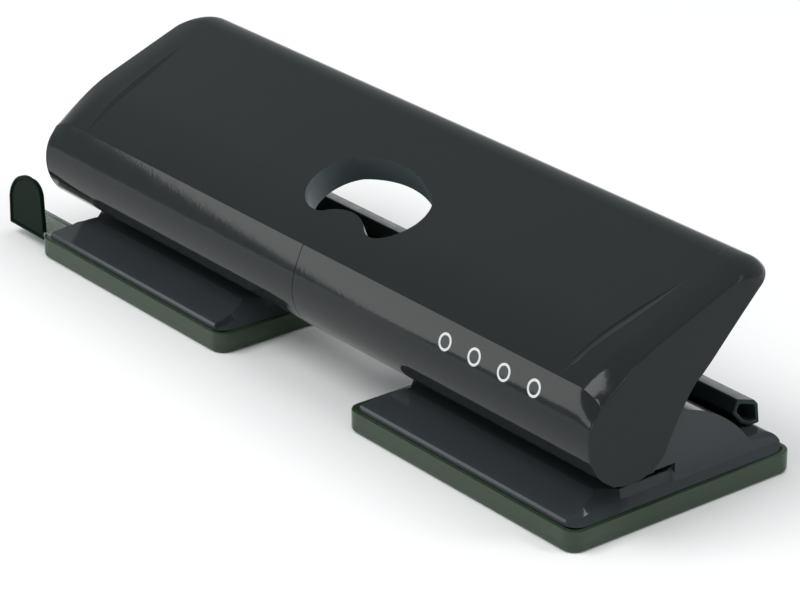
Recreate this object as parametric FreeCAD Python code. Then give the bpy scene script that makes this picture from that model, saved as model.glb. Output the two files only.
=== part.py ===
import FreeCAD, Part

import math
import os

# Four-hole desk punch: two identical two-hole punch units tied by a rear rail,
# one long handle pressing all four pins.  Millimetres throughout.
#
# Working axes while modelling: X along the punch (0 midway between the units),
# Y from the front edge of the chip trays towards the back, Z up from the table.
# export() moves every piece so that the origin is the centre of the footprint.

# ---- driving dimensions -------------------------------------------------
HOLE_PITCH = 80.0            # standard spacing of filing holes
HOLE_TO_EDGE = 12.0          # hole centre to paper edge
UNIT_X = HOLE_PITCH          # centre of each unit, left and right of X = 0
PUNCH_DIA = 5.5

TRAY_WIDTH = 98.8
TRAY_DEPTH = 81.0
TRAY_HEIGHT = 6.6
TRAY_CORNER = 4.5
TRAY_WALL = 1.6

COVER_INSET = 1.5
COVER_WALL = 2.0
COVER_CORNER = 4.5
SLOT_FLOOR = 11.4            # paper lies here
SLOT_CEILING = 13.4
STOP_Y = 38.0                # paper edge stops here
PIN_Y = STOP_Y - HOLE_TO_EDGE
LEDGE_Z = 11.9

HANDLE_HALF = 130.0          # half length of the handle
CAP_THICK = 2.5
BARREL_Y = 20.0
BARREL_Z = 31.0
BARREL_R = 15.5
PANEL_SLOPE = math.atan(0.38)
PANEL_FRONT = (27.0, 54.1)   # where the flat of the top panel starts
PANEL_BACK = (60.0, 66.64)
BACK_R = 10.0                # rounding along the back of the handle
UNDER_SLOPE = math.atan(0.85)    # the shell and end caps are trimmed to this slope
NOSE = (8.8, 44.2)           # edge between top panel and barrel front
FLANK_START = (5.17, 35.5)   # barrel circle passes into the flatter flank here
SHELL = 2.5
BARREL_WALL = 2.2
PLAN_CORNER = 8.5            # back corners of the handle seen from above

PIVOT_Y = 12.5
PIVOT_Z = 28.5
ROD_DIA = 5.0
PIN_TIP_Z = 13.9
PIN_TOP_Z = 25.4

RAIL_HALF = 119.0
RAIL_WALL = 1.4

GUIDE_TOP = 6.2
GUIDE_THICK = 1.5
GUIDE_Y = (2.5, 13.5)
PADDLE_X = (-150.6, -130.6)
PADDLE_Z = (3.4, 22.4)
PADDLE_THICK = 1.6

RUN = 0.05                   # radial clearance of a running fit
LOOSE = 0.3                  # clearance between plastic pieces that slide
GAP = 0.1                    # narrow gap between faces of different pieces

ORIGIN_SHIFT = FreeCAD.Vector(10.3, -TRAY_DEPTH / 2, 0)


# ---- small helpers ------------------------------------------------------
def vec(x, y, z):
    return FreeCAD.Vector(x, y, z)


def box(x, y, z):
    """Box from three (low, high) pairs."""
    return Part.makeBox(x[1] - x[0], y[1] - y[0], z[1] - z[0], vec(x[0], y[0], z[0]))


def rod_x(y, z, radius, x):
    return Part.makeCylinder(radius, x[1] - x[0], vec(x[0], y, z), vec(1, 0, 0))


def post(x, y, radius, z):
    return Part.makeCylinder(radius, z[1] - z[0], vec(x, y, z[0]), vec(0, 0, 1))


def side_wire(start, steps):
    """Closed wire in the YZ plane.  A step is a point, or (middle, end) for an arc."""
    edges = []
    here = vec(0, *start)
    for step in steps:
        if isinstance(step[0], tuple):
            middle = vec(0, *step[0])
            end = vec(0, *step[1])
            edges.append(Part.Arc(here, middle, end).toShape())
        else:
            end = vec(0, *step)
            edges.append(Part.LineSegment(here, end).toShape())
        here = end
    if here.distanceToPoint(vec(0, *start)) > 1e-6:
        edges.append(Part.LineSegment(here, vec(0, *start)).toShape())
    return Part.Wire(edges)


def side_prism(start, steps, x):
    """Solid of a YZ outline between two X stations."""
    face = Part.Face(side_wire(start, steps))
    face.translate(vec(x[0], 0, 0))
    return face.extrude(vec(x[1] - x[0], 0, 0))


def front_prism(start, steps, y):
    """Solid of an XZ outline between two Y stations."""
    face = Part.Face(side_wire(start, steps))
    face.rotate(vec(0, 0, 0), vec(0, 0, 1), -90)
    face.translate(vec(0, y[0], 0))
    return face.extrude(vec(0, y[1] - y[0], 0))


def polygon_xz(points, y):
    wire = Part.makePolygon([vec(px, y[0], pz) for px, pz in points + points[:1]])
    return Part.Face(wire).extrude(vec(0, y[1] - y[0], 0))


def rounded_slab(x, y, z, radius):
    slab = box(x, y, z)
    upright = [e for e in slab.Edges if abs(e.tangentAt(e.FirstParameter).z) > 0.9]
    return slab.makeFillet(radius, upright)


def polar(centre, radius, angle):
    return (centre[0] + radius * math.cos(angle), centre[1] + radius * math.sin(angle))


def tangent_arc_centre(start, direction, through):
    """Centre and radius of the circle tangent to direction at start, through a point."""
    dy = through[0] - start[0]
    dz = through[1] - start[1]
    normal = (-direction[1], direction[0])
    reach = dy * normal[0] + dz * normal[1]
    radius = (dy * dy + dz * dz) / (2 * reach)
    return (start[0] + radius * normal[0], start[1] + radius * normal[1]), abs(radius)


def mid_on_arc(centre, radius, a, b):
    """Point half way along the arc from a to b."""
    my = (a[0] + b[0]) / 2 - centre[0]
    mz = (a[1] + b[1]) / 2 - centre[1]
    scale = radius / math.hypot(my, mz)
    return (centre[0] + my * scale, centre[1] + mz * scale)


def towards(centre, point, radius):
    """The point at radius from the centre, in the direction of a point."""
    dy = point[0] - centre[0]
    dz = point[1] - centre[1]
    scale = radius / math.hypot(dy, dz)
    return (centre[0] + dy * scale, centre[1] + dz * scale)


def export(name, shape):
    shape = shape.copy()
    shape.translate(ORIGIN_SHIFT)
    assert shape.isValid(), name
    shape.exportStep("parts/" + name + ".step")
    print(f"{name}: {len(shape.Solids)} solid(s), {shape.Volume / 1000:.2f} cm3")


# ---- outline of the handle ---------------------------------------------
PANEL_DIR = (math.cos(PANEL_SLOPE), math.sin(PANEL_SLOPE))
BACK_CENTRE = (PANEL_BACK[0] + BACK_R * PANEL_DIR[1], PANEL_BACK[1] - BACK_R * PANEL_DIR[0])
BACK_LIP = polar(BACK_CENTRE, BACK_R, UNDER_SLOPE)
UNDER_DIR = (math.cos(UNDER_SLOPE), math.sin(UNDER_SLOPE))
BROW_CENTRE, BROW_R = tangent_arc_centre(PANEL_FRONT, PANEL_DIR, NOSE)
BARREL_C = (BARREL_Y, BARREL_Z)
FLANK_DIR = (FLANK_START[1] - BARREL_Z, BARREL_Y - FLANK_START[0])
FLANK_DIR = tuple(c / math.hypot(*FLANK_DIR) for c in FLANK_DIR)
FLANK_CENTRE, FLANK_R = tangent_arc_centre(FLANK_START, FLANK_DIR, NOSE)


def skin_points(depth):
    """Corner points of the handle's outline, moved inwards by depth."""
    nose_top = towards(BROW_CENTRE, NOSE, BROW_R - depth)
    front = towards(BROW_CENTRE, PANEL_FRONT, BROW_R - depth)
    back = towards(BACK_CENTRE, PANEL_BACK, BACK_R - depth)
    lip = towards(BACK_CENTRE, BACK_LIP, BACK_R - depth)
    bend = mid_on_arc(BACK_CENTRE, BACK_R - depth, back, lip)
    return nose_top, front, back, bend, lip


def ray_to_circle(start, through, centre, radius):
    """Where the ray from start through a point first leaves or meets a circle."""
    dy = through[0] - start[0]
    dz = through[1] - start[1]
    length = math.hypot(dy, dz)
    dy, dz = dy / length, dz / length
    along = (centre[0] - start[0]) * dy + (centre[1] - start[1]) * dz
    off = math.hypot(start[0] + along * dy - centre[0], start[1] + along * dz - centre[1])
    reach = along - math.sqrt(radius * radius - off * off)
    return (start[0] + reach * dy, start[1] + reach * dz)


def top_skin(x, depth=SHELL):
    """Curved sheet of the top panel, from the nose to the free back lip."""
    nose_o, front_o, back_o, bend_o, lip_o = skin_points(0)
    nose_i, front_i, back_i, bend_i, lip_i = skin_points(depth)
    steps = [
        (mid_on_arc(BROW_CENTRE, BROW_R, nose_o, front_o), front_o),
        back_o,
        (bend_o, lip_o),
        lip_i,
        (bend_i, back_i),
        front_i,
        (mid_on_arc(BROW_CENTRE, BROW_R - depth, front_i, nose_i), nose_i),
    ]
    return side_prism(nose_o, steps, x)


def barrel_skin(x, end_angle):
    """Curved sheet of the barrel, from the nose down round the front and under."""
    outer_end = polar(BARREL_C, BARREL_R, math.pi + end_angle)
    inner_end = polar(BARREL_C, BARREL_R - BARREL_WALL, math.pi + end_angle)
    outer_mid = polar(BARREL_C, BARREL_R, math.pi + end_angle / 2)
    inner_mid = polar(BARREL_C, BARREL_R - BARREL_WALL, math.pi + end_angle / 2)
    flank_i = towards(FLANK_CENTRE, FLANK_START, FLANK_R - BARREL_WALL)
    shell_edge = skin_points(SHELL)[0]
    nose_i = ray_to_circle(NOSE, shell_edge, FLANK_CENTRE, FLANK_R - BARREL_WALL)
    steps = [
        (mid_on_arc(FLANK_CENTRE, FLANK_R, NOSE, FLANK_START), FLANK_START),
        (outer_mid, outer_end),
        inner_end,
        (inner_mid, flank_i),
        (mid_on_arc(FLANK_CENTRE, FLANK_R - BARREL_WALL, flank_i, nose_i), nose_i),
    ]
    return side_prism(NOSE, steps, x)


def handle_plan(inset=0):
    """Upright prism with the handle's rounded back corners, to trim its pieces with."""
    x = (-HANDLE_HALF + inset, HANDLE_HALF - inset)
    slab = box(x, (-40.0, BACK_LIP[0] - inset), (0, 90))
    corners = [
        e for e in slab.Edges
        if abs(e.tangentAt(e.FirstParameter).z) > 0.9 and e.CenterOfMass.y > 0
    ]
    return slab.makeFillet(PLAN_CORNER - inset, corners)


# ---- grip opening in the handle ----------------------------------------
GRIP_POINTS = [
    # start and end of each arc, with the point in the middle, as X and Y
    ((-23.2, 30.2), (-14.5, 41.0)),
    ((2.5, 44.4), (19.5, 39.8)),
    ((27.2, 28.5), (20.5, 18.2)),
    ((15.4, 17.4), (9.5, 19.6)),
    ((-0.8, 22.9), (-10.5, 20.2)),
]
GRIP_START = (-10.5, 20.2)
GRIP_SKIRT = 8.5             # depth of the wall round the opening
GRIP_WALL = 2.0


def on_panel(x, y):
    z = PANEL_FRONT[1] + (y - PANEL_FRONT[0]) * math.tan(PANEL_SLOPE)
    return vec(x, y, z)


def grip_face(grow):
    edges = []
    here = on_panel(*GRIP_START)
    for middle, end in GRIP_POINTS:
        edges.append(Part.Arc(here, on_panel(*middle), on_panel(*end)).toShape())
        here = on_panel(*end)
    face = Part.Face(Part.Wire(edges))
    return face.makeOffset2D(grow) if grow else face


def grip_column(grow, above, below):
    """Prism of the opening, square to the panel."""
    out = vec(0, -PANEL_DIR[1], PANEL_DIR[0])
    face = grip_face(grow)
    face.translate(out * above)
    return face.extrude(out * -(above + below))


# ---- handle pieces ------------------------------------------------------
RIB_XS = [-115.0, -57.0, -33.0, 33.0, 57.0, 115.0]
RIB_THICK = 1.8
RIB_DEPTH = 5.0


def make_top_shell(plan):
    inner_half = HANDLE_HALF - CAP_THICK
    shell = top_skin((-inner_half, inner_half))
    for x in RIB_XS:
        span = (x - RIB_THICK / 2, x + RIB_THICK / 2)
        shell = shell.fuse(top_skin(span, SHELL + RIB_DEPTH))
    skirt = grip_column(GRIP_WALL, -SHELL / 2, GRIP_SKIRT)
    shell = shell.fuse(skirt)
    shell = shell.cut(grip_column(0, 4, GRIP_SKIRT + 1))
    slot_y = (LEVER_PLATE_Y[0] - GAP, LEVER_PLATE_Y[1] + GAP)
    for centre in (-UNIT_X, UNIT_X):
        shell = shell.cut(box(span_x(centre, ARM_X[1] + GAP), slot_y, (40, LEVER_TOP_Z + GAP)))
    corner_walls = handle_plan().cut(handle_plan(SHELL))
    corner_walls = corner_walls.common(end_outline((-inner_half, inner_half)))
    corner_walls = corner_walls.common(box((-inner_half, inner_half), (55, 90), (0, 90)))
    return shell.common(plan).fuse(corner_walls).removeSplitter()


BARREL_OPEN = math.radians(66)     # the barrel ends here over the punch units
BARREL_CLOSED = math.radians(150)  # and here between them
BARREL_BRIDGE = 28.5               # half length of the closed middle
SEAM = 0.15                        # half of the gap between the two barrel covers


def make_barrel_cover(side):
    whole_x = sorted((side * (HANDLE_HALF - CAP_THICK), side * SEAM))
    open_x = sorted((side * HANDLE_HALF, side * BARREL_BRIDGE))
    reach = 2 * BARREL_R
    fan = [polar(BARREL_C, reach, math.pi + BARREL_OPEN + step * math.radians(45)) for step in range(3)]
    return barrel_skin(whole_x, BARREL_CLOSED).cut(side_prism(BARREL_C, fan, open_x))


CAP_WAIST = 28.0             # length of the straight run under the back of a cap
LOBE_END = math.radians(-42)


def end_outline(x):
    """Whole side outline of the handle between two X stations."""
    nose_o, front_o, back_o, bend_o, lip_o = skin_points(0)
    lobe_end = polar(BARREL_C, BARREL_R, LOBE_END)
    waist = (BACK_CENTRE[0] - CAP_WAIST * UNDER_DIR[0], BACK_CENTRE[1] - CAP_WAIST * UNDER_DIR[1])
    steps = [
        (mid_on_arc(BROW_CENTRE, BROW_R, nose_o, front_o), front_o),
        back_o,
        (bend_o, lip_o),
        waist,
        ((35.8, 29.4), lobe_end),
        (polar(BARREL_C, BARREL_R, math.radians(-120)), FLANK_START),
        (mid_on_arc(FLANK_CENTRE, FLANK_R, NOSE, FLANK_START), NOSE),
    ]
    return side_prism(NOSE, steps, x)


def make_end_cap(side, plan):
    x = sorted((side * (HANDLE_HALF - CAP_THICK), side * HANDLE_HALF))
    return end_outline(x).common(plan)


# ---- punch unit ---------------------------------------------------------
HALF_W = TRAY_WIDTH / 2
COVER_HALF = HALF_W - COVER_INSET
CHEEK_X = (44.0, 45.5)       # frame cheeks, from the unit's centre
EYE_R = 4.5                  # round ends of the cheeks and lever arms
ARM_X = (45.8, 47.3)         # lever arms just outside them
FRAME_HALF = CHEEK_X[1]
DIE_THICK = 2.0
DIE_Y = (21.0, 60.0)
DIE_HALF = 43.4
FLANGE_Z = (SLOT_CEILING, SLOT_CEILING + 3.0)
FLANGE_Y = (17.6, STOP_Y + 2.0)
FLANGE_NOTCH = (32.2, 42.7)  # the flange narrows behind this Y, to this half width
FRAME_BACK_Y = 58.0
HILL_HALF = 44.9
HILL_Y = STOP_Y + 2.2
WING_Y = 32.6                # the hill's side walls reach forward to here
HILL_TOP = 28.2
HILL_CREST_Y = 44.0          # behind this the hill falls towards the ledge


def span_x(centre, half):
    return (centre - half, centre + half)


BACK_EDGE_Y = TRAY_DEPTH - COVER_INSET


def cover_outline(inset):
    """Front ramp, platform and rear ledge of a base cover, as a YZ prism outline."""
    top = -inset
    start = (COVER_INSET + inset, TRAY_HEIGHT + top)
    steps = [
        (COVER_INSET + inset, 7.7 + top),
        ((1.9 + inset, 8.4 + top), (2.8 + inset, 8.6 + top)),
        ((9.0 + inset / 2, 9.6 + top), (15.5, SLOT_FLOOR + top)),
        (STOP_Y + inset, SLOT_FLOOR + top),
        (STOP_Y + 0.5 + inset, LEDGE_Z + top),
        (BACK_EDGE_Y - 5.5, LEDGE_Z + top),
        ((BACK_EDGE_Y - 2.3 - inset, LEDGE_Z - 1.2 + top), (BACK_EDGE_Y - 0.4 - inset, 8.2)),
        (BACK_EDGE_Y - inset, TRAY_HEIGHT + top),
    ]
    return start, steps


CREASE_INSET = 3.0           # the skirt leans in by this much up to its crease
CREASE_FRONT_Z = 8.7
CREASE_BACK_Z = 10.3
BEVELS = [
    # Y reached, height of the crease, half width of the flat top, its height
    (DIE_Y[0] - 0.6, CREASE_FRONT_Z, 40.8, SLOT_FLOOR),
    (STOP_Y + 0.5, CREASE_FRONT_Z, DIE_HALF + 0.7, SLOT_FLOOR),
    (TRAY_DEPTH, CREASE_BACK_Z, 43.6, LEDGE_Z),
]


def cover_envelope(centre, inset):
    """What the leaning skirts and bevels at the ends of a cover leave of it."""
    half = COVER_HALF - inset
    crease = COVER_HALF - CREASE_INSET - inset
    parts = []
    y = 0.0
    for reach, crease_z, flat, top in BEVELS:
        points = [
            (half, TRAY_HEIGHT - inset), (crease, crease_z - inset), (flat - inset / 2, top - inset),
        ]
        outline = [(centre + px, pz) for px, pz in points]
        outline += [(centre - px, pz) for px, pz in reversed(points)]
        parts.append(polygon_xz(outline, (y, reach + inset)))
        y = reach + inset
    return parts[0].fuse(parts[1:])


def cover_body(centre, inset):
    start, steps = cover_outline(inset)
    half = COVER_HALF - inset
    body = side_prism(start, steps, span_x(centre, half))
    ends = cover_envelope(centre, inset)
    plan = rounded_slab(
        span_x(centre, half),
        (COVER_INSET + inset, TRAY_DEPTH - COVER_INSET - inset),
        (0, 40), COVER_CORNER - inset / 2)
    return body.common(ends).common(plan)


def hill_wings(centre):
    """Side walls of the hill carried forward beside the punch frame, over the slot."""
    start = (WING_Y, SLOT_CEILING + GAP)
    steps = [
        (WING_Y, 24.6),
        ((WING_Y + 1.1, 27.3), (WING_Y + 3.8, HILL_TOP)),
        (HILL_CREST_Y, HILL_TOP),
        (HILL_CREST_Y, SLOT_CEILING + GAP),
    ]
    outer = side_prism(start, steps, span_x(centre, HILL_HALF))
    return outer.cut(box(span_x(centre, HILL_HALF - COVER_WALL), (0, 60), (0, 60)))


def hill(centre, inset):
    """Housing behind the paper stop, arched from its front wall down to the ledge."""
    top = -inset
    start = (HILL_Y + inset, LEDGE_Z - COVER_WALL)
    steps = [
        (HILL_Y + inset, 26.6 + top),
        ((HILL_Y + 1.6 + inset, HILL_TOP + top), (HILL_CREST_Y, HILL_TOP + top)),
        ((56.8 - inset / 2, 22.4 + top), (66.0 - inset, 14.2)),
        (69.5 - inset, LEDGE_Z - COVER_WALL),
    ]
    return side_prism(start, steps, span_x(centre, HILL_HALF - inset))


SCREW_XS = (-34.0, 0.0, 34.0)
SCREW_Y = 50.0
SCREW_R = 1.5
SCREW_HEAD_R = 3.0
SCREW_HEAD_TOP = SLOT_CEILING + 1.9
SCREW_LOW_Z = 7.0
RAIL_SCREW_XS = (-25.0, 25.0)
RAIL_SCREW_Y = 74.9
RAIL_HEAD_R = 2.3
RAIL_HEAD_THICK = 1.6
RAIL_SCREW_TOP = 17.0


def make_base_cover(centre):
    cover = cover_body(centre, 0).fuse(hill(centre, 0))
    cavity = cover_body(centre, COVER_WALL).fuse(hill(centre, COVER_WALL))
    cover = cover.cut(cavity).fuse(hill_wings(centre))
    bed_z = SLOT_FLOOR - DIE_THICK
    bed = box(span_x(centre, DIE_HALF), (DIE_Y[0] - 2, DIE_Y[1] + 1), (bed_z - COVER_WALL, bed_z))
    die_room = box(span_x(centre, DIE_HALF + GAP), (DIE_Y[0] - GAP, STOP_Y + 0.6), (bed_z, 30))
    frame_room = box(span_x(centre, HILL_HALF - COVER_WALL), (STOP_Y, DIE_Y[1] + GAP),
                     (bed_z, SLOT_CEILING + GAP))
    web_room = box(span_x(centre, HILL_HALF - COVER_WALL), (STOP_Y, HILL_Y), (bed_z, 30))
    cover = cover.fuse(bed).cut(die_room).cut(frame_room).cut(web_room)
    for x in (-HOLE_PITCH / 2, HOLE_PITCH / 2):
        cover = cover.cut(post(centre + x, PIN_Y, PUNCH_DIA / 2 + 1.0, (0, 20)))
    for x in SCREW_XS:
        cover = cover.cut(post(centre + x, SCREW_Y, SCREW_R, (0, 20)))
    for x in RAIL_SCREW_XS:
        cover = cover.cut(post(centre + x, RAIL_SCREW_Y, SCREW_R, (0, 20)))
        cover = cover.cut(post(centre + x, RAIL_SCREW_Y, RAIL_HEAD_R + GAP, (0, LEDGE_Z - COVER_WALL)))
    return cover.removeSplitter()


def make_die_plate(centre):
    plate = box(span_x(centre, DIE_HALF), (DIE_Y[0], STOP_Y + 0.4),
                (SLOT_FLOOR - DIE_THICK, SLOT_FLOOR))
    tongue = box(span_x(centre, HILL_HALF - COVER_WALL - GAP), (STOP_Y, DIE_Y[1]),
                 (SLOT_FLOOR - DIE_THICK, SLOT_FLOOR))
    plate = plate.fuse(tongue).removeSplitter()
    for x in (-HOLE_PITCH / 2, HOLE_PITCH / 2):
        plate = plate.cut(post(centre + x, PIN_Y, PUNCH_DIA / 2 + RUN, (0, 20)))
    for x in SCREW_XS:
        plate = plate.cut(post(centre + x, SCREW_Y, SCREW_R, (0, 20)))
    return plate


CHEEK_OUTLINE = [(16.8, 28.5), (20.0, 20.0), (FLANGE_NOTCH[0], 20.0),
                 (FLANGE_NOTCH[0], SLOT_CEILING), (18.0, SLOT_CEILING),
                 (16.6, 19.0), (13.5, 23.6)]


def make_punch_frame(centre):
    """Steel frame: guide flange over the slot, web behind the paper stop, foot, cheeks."""
    narrow = span_x(centre, FLANGE_NOTCH[1])
    frame = box(span_x(centre, FRAME_HALF), (FLANGE_Y[0], FLANGE_NOTCH[0]), FLANGE_Z)
    frame = frame.fuse(box(narrow, FLANGE_Y, FLANGE_Z))
    frame = frame.fuse(box(narrow, (STOP_Y, STOP_Y + 2), (SLOT_FLOOR, 20)))
    frame = frame.fuse(box(span_x(centre, HILL_HALF - COVER_WALL - GAP),
                           (STOP_Y, FRAME_BACK_Y), (SLOT_FLOOR, SLOT_CEILING)))
    for side in (-1, 1):
        x = sorted((centre + side * CHEEK_X[0], centre + side * CHEEK_X[1]))
        cheek = side_prism(CHEEK_OUTLINE[0], CHEEK_OUTLINE[1:], x)
        cheek = cheek.fuse(rod_x(PIVOT_Y, PIVOT_Z, EYE_R, x))
        frame = frame.fuse(cheek)
    frame = frame.cut(rod_x(PIVOT_Y, PIVOT_Z, ROD_DIA / 2, span_x(centre, 60)))
    for x in (-HOLE_PITCH / 2, HOLE_PITCH / 2):
        frame = frame.cut(post(centre + x, PIN_Y, PUNCH_DIA / 2 + RUN, (SLOT_CEILING - 1, 20)))
    for x in SCREW_XS:
        frame = frame.cut(post(centre + x, SCREW_Y, SCREW_R, (0, 20)))
    return frame.removeSplitter()


def make_frame_screws():
    """Pan-head screws down through frame, die plate and cover, three per unit."""
    screws = []
    for centre in (-UNIT_X, UNIT_X):
        for x in SCREW_XS:
            shank = post(centre + x, SCREW_Y, SCREW_R, (SCREW_LOW_Z, SLOT_CEILING))
            head = post(centre + x, SCREW_Y, SCREW_HEAD_R, (SLOT_CEILING, SCREW_HEAD_TOP))
            screws.append(shank.fuse(head))
    return Part.makeCompound(screws)


COLLAR_Z = (22.6, 23.6)      # the ring's groove near the top of a pin
COLLAR_SEAT_R = 2.2
COLLAR_R = 3.6
COLLAR_MOUTH = 1.3           # half width of the ring's open mouth
TIP_R = 6.0                  # the pin's end is hollowed to this radius
TIP_HOLLOW = 0.8             # and this deep


def make_pin(x):
    pin = post(x, PIN_Y, PUNCH_DIA / 2, (PIN_TIP_Z, PIN_TOP_Z))
    pin = pin.cut(rod_x(PIN_Y, PIN_TIP_Z + TIP_HOLLOW - TIP_R, TIP_R, span_x(x, PUNCH_DIA)))
    groove = post(x, PIN_Y, PUNCH_DIA / 2 + 1, COLLAR_Z).cut(
        post(x, PIN_Y, COLLAR_SEAT_R, COLLAR_Z))
    return pin.cut(groove)


def make_collar(x):
    """Retaining ring in the pin's groove, with its open mouth to the back."""
    ring = post(x, PIN_Y, COLLAR_R, COLLAR_Z).cut(post(x, PIN_Y, COLLAR_SEAT_R, COLLAR_Z))
    mouth = box(span_x(x, COLLAR_MOUTH), (PIN_Y, PIN_Y + COLLAR_R), COLLAR_Z)
    return ring.cut(mouth)


SPRING_R = 3.4
SPRING_WIRE = 0.5
SPRING_TURNS = 3
SPRING_GAP = 0.02


def make_spring(x):
    """Compression spring between the guide flange and the collar."""
    low = FLANGE_Z[1] + SPRING_WIRE / 2 + SPRING_GAP
    high = COLLAR_Z[0] - SPRING_WIRE / 2 - SPRING_GAP
    pitch = (high - low) / SPRING_TURNS
    coil = []
    for half_turn in range(2 * SPRING_TURNS):
        arc = Part.makeHelix(pitch, pitch / 2, SPRING_R)
        arc.rotate(vec(0, 0, 0), vec(0, 0, 1), 180 * half_turn)
        arc.translate(vec(x, PIN_Y, low + half_turn * pitch / 2))
        coil += arc.Edges
    section = Part.Wire(Part.makeCircle(SPRING_WIRE / 2, vec(x + SPRING_R, PIN_Y, low), vec(0, 1, 0)))
    return Part.Wire(coil).makePipeShell([section], True, True)


# ---- lever inside the handle -------------------------------------------
PAD_R = 3.0
PAD_LOW_Z = PIN_TOP_Z + GAP
LEVER_PLATE_Y = (24.6, 27.4)
LEVER_TOP_Z = 50.2
PAD_HALF = 4.0
WINDOW_HALF = HOLE_PITCH / 2 - 8     # opening in the bar between its two pads
WINDOW_TOP = 40.0
ARM_OUTLINE = [(8.0, 29.5), (12.0, 33.0), (23.4, 43.6), (27.4, 43.6), (27.4, 26.5),
               (24.6, 26.5), (14.5, 24.3)]


def make_lever(centre):
    """Cross bar over the pins, hung from the top shell, with an arm at each end."""
    bar = box(span_x(centre, ARM_X[1]), LEVER_PLATE_Y, (PAD_LOW_Z + PAD_R, LEVER_TOP_Z))
    for x in (-HOLE_PITCH / 2, HOLE_PITCH / 2):
        bar = bar.fuse(rod_x(PIN_Y, PAD_LOW_Z + PAD_R, PAD_R, span_x(centre + x, PAD_HALF)))
    bar = bar.cut(box(span_x(centre, WINDOW_HALF), LEVER_PLATE_Y, (0, WINDOW_TOP)))
    for side in (-1, 1):
        x = sorted((centre + side * ARM_X[0], centre + side * ARM_X[1]))
        arm = side_prism(ARM_OUTLINE[0], ARM_OUTLINE[1:], x)
        arm = arm.fuse(rod_x(PIVOT_Y, PIVOT_Z, EYE_R, x))
        bar = bar.fuse(arm)
        slot = sorted((centre + side * (CHEEK_X[0] - LOOSE), centre + side * ARM_X[0]))
        bar = bar.cut(box(slot, (20, 30), (0, 32)))
    return bar.cut(rod_x(PIVOT_Y, PIVOT_Z, ROD_DIA / 2 + RUN, span_x(centre, 60))).removeSplitter()


ROD_HALF = 126.9


def make_pivot_rod():
    rod = rod_x(PIVOT_Y, PIVOT_Z, ROD_DIA / 2, (-ROD_HALF, ROD_HALF))
    return rod


RING_X = UNIT_X - ARM_X[1] - 1.0     # just inside the inner lever arms
RING_R = 4.2
RING_THICK = 1.2


def make_rod_clips():
    """Push-on rings on the rod beside the inner lever arms."""
    rings = []
    for side in (-1, 1):
        x = sorted((side * RING_X, side * (RING_X - RING_THICK)))
        ring = rod_x(PIVOT_Y, PIVOT_Z, RING_R, x)
        rings.append(ring.cut(rod_x(PIVOT_Y, PIVOT_Z, ROD_DIA / 2, x)))
    return Part.makeCompound(rings)


# ---- rail, trays, guide -------------------------------------------------
RAIL_OUTLINE = [(66.8, 17.6), (68.5, 21.6), (75.2, 19.4), (76.6, 18.0),
                (77.3, LEDGE_Z), (73.4, LEDGE_Z), (70.3, 13.6)]
RAIL_PLUG_HALF = 6.0


def rail_face(inset):
    face = Part.Face(side_wire(RAIL_OUTLINE[0], RAIL_OUTLINE[1:]))
    return face.makeOffset2D(-inset, 0, False, False, True) if inset else face


def rail_prism(inset, x):
    face = rail_face(inset)
    face.translate(vec(x[0], 0, 0))
    return face.extrude(vec(x[1] - x[0], 0, 0))


def make_rail():
    rail = rail_prism(0, (-RAIL_HALF, RAIL_HALF))
    rail = rail.cut(rail_prism(RAIL_WALL, (-RAIL_HALF - 1, RAIL_HALF + 1)))
    for centre in (-UNIT_X, UNIT_X):
        for x in RAIL_SCREW_XS:
            rail = rail.cut(post(centre + x, RAIL_SCREW_Y, SCREW_R, (0, RAIL_SCREW_TOP)))
    return rail


def make_rail_plugs():
    """Nylon blocks pushed into the rail where its screws go."""
    plugs = []
    for centre in (-UNIT_X, UNIT_X):
        for x in RAIL_SCREW_XS:
            plug = rail_prism(RAIL_WALL, span_x(centre + x, RAIL_PLUG_HALF))
            plugs.append(plug.cut(post(centre + x, RAIL_SCREW_Y, SCREW_R, (0, RAIL_SCREW_TOP))))
    return Part.makeCompound(plugs)


def make_rail_screws():
    screws = []
    under = LEDGE_Z - COVER_WALL
    for centre in (-UNIT_X, UNIT_X):
        for x in RAIL_SCREW_XS:
            shank = post(centre + x, RAIL_SCREW_Y, SCREW_R, (under, RAIL_SCREW_TOP))
            head = post(centre + x, RAIL_SCREW_Y, RAIL_HEAD_R, (under - RAIL_HEAD_THICK, under))
            screws.append(shank.fuse(head))
    return Part.makeCompound(screws)


TRAY_FLOOR = 1.4
FOOT_R = 4.0
FOOT_PROUD = 0.3
FOOT_SINK = 0.7
FOOT_INSET = 9.0
TRAY_CHAMFER = 0.6


def foot_spots(centre):
    for x in (-1, 1):
        for y in (FOOT_INSET, TRAY_DEPTH - FOOT_INSET):
            yield centre + x * (HALF_W - FOOT_INSET), y


def make_tray(centre):
    tray = rounded_slab(span_x(centre, HALF_W), (0, TRAY_DEPTH), (FOOT_PROUD, TRAY_HEIGHT), TRAY_CORNER)
    rims = [e for e in tray.Edges if abs(e.CenterOfMass.z - FOOT_PROUD) < 1e-3]
    tray = tray.makeChamfer(TRAY_CHAMFER, rims)
    room = rounded_slab(span_x(centre, HALF_W - TRAY_WALL), (TRAY_WALL, TRAY_DEPTH - TRAY_WALL),
                        (FOOT_PROUD + TRAY_FLOOR, TRAY_HEIGHT + 1), TRAY_CORNER - TRAY_WALL)
    tray = tray.cut(room)
    for x, y in foot_spots(centre):
        tray = tray.cut(post(x, y, FOOT_R, (0, FOOT_PROUD + FOOT_SINK)))
    if centre < 0:
        notch = box((centre - HALF_W - 1, centre - HALF_W + TRAY_CORNER),
                    (GUIDE_Y[0] - LOOSE, GUIDE_Y[1] + LOOSE),
                    (GUIDE_TOP - GUIDE_THICK - LOOSE, TRAY_HEIGHT + 1))
        tray = tray.cut(notch)
    return tray


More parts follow.
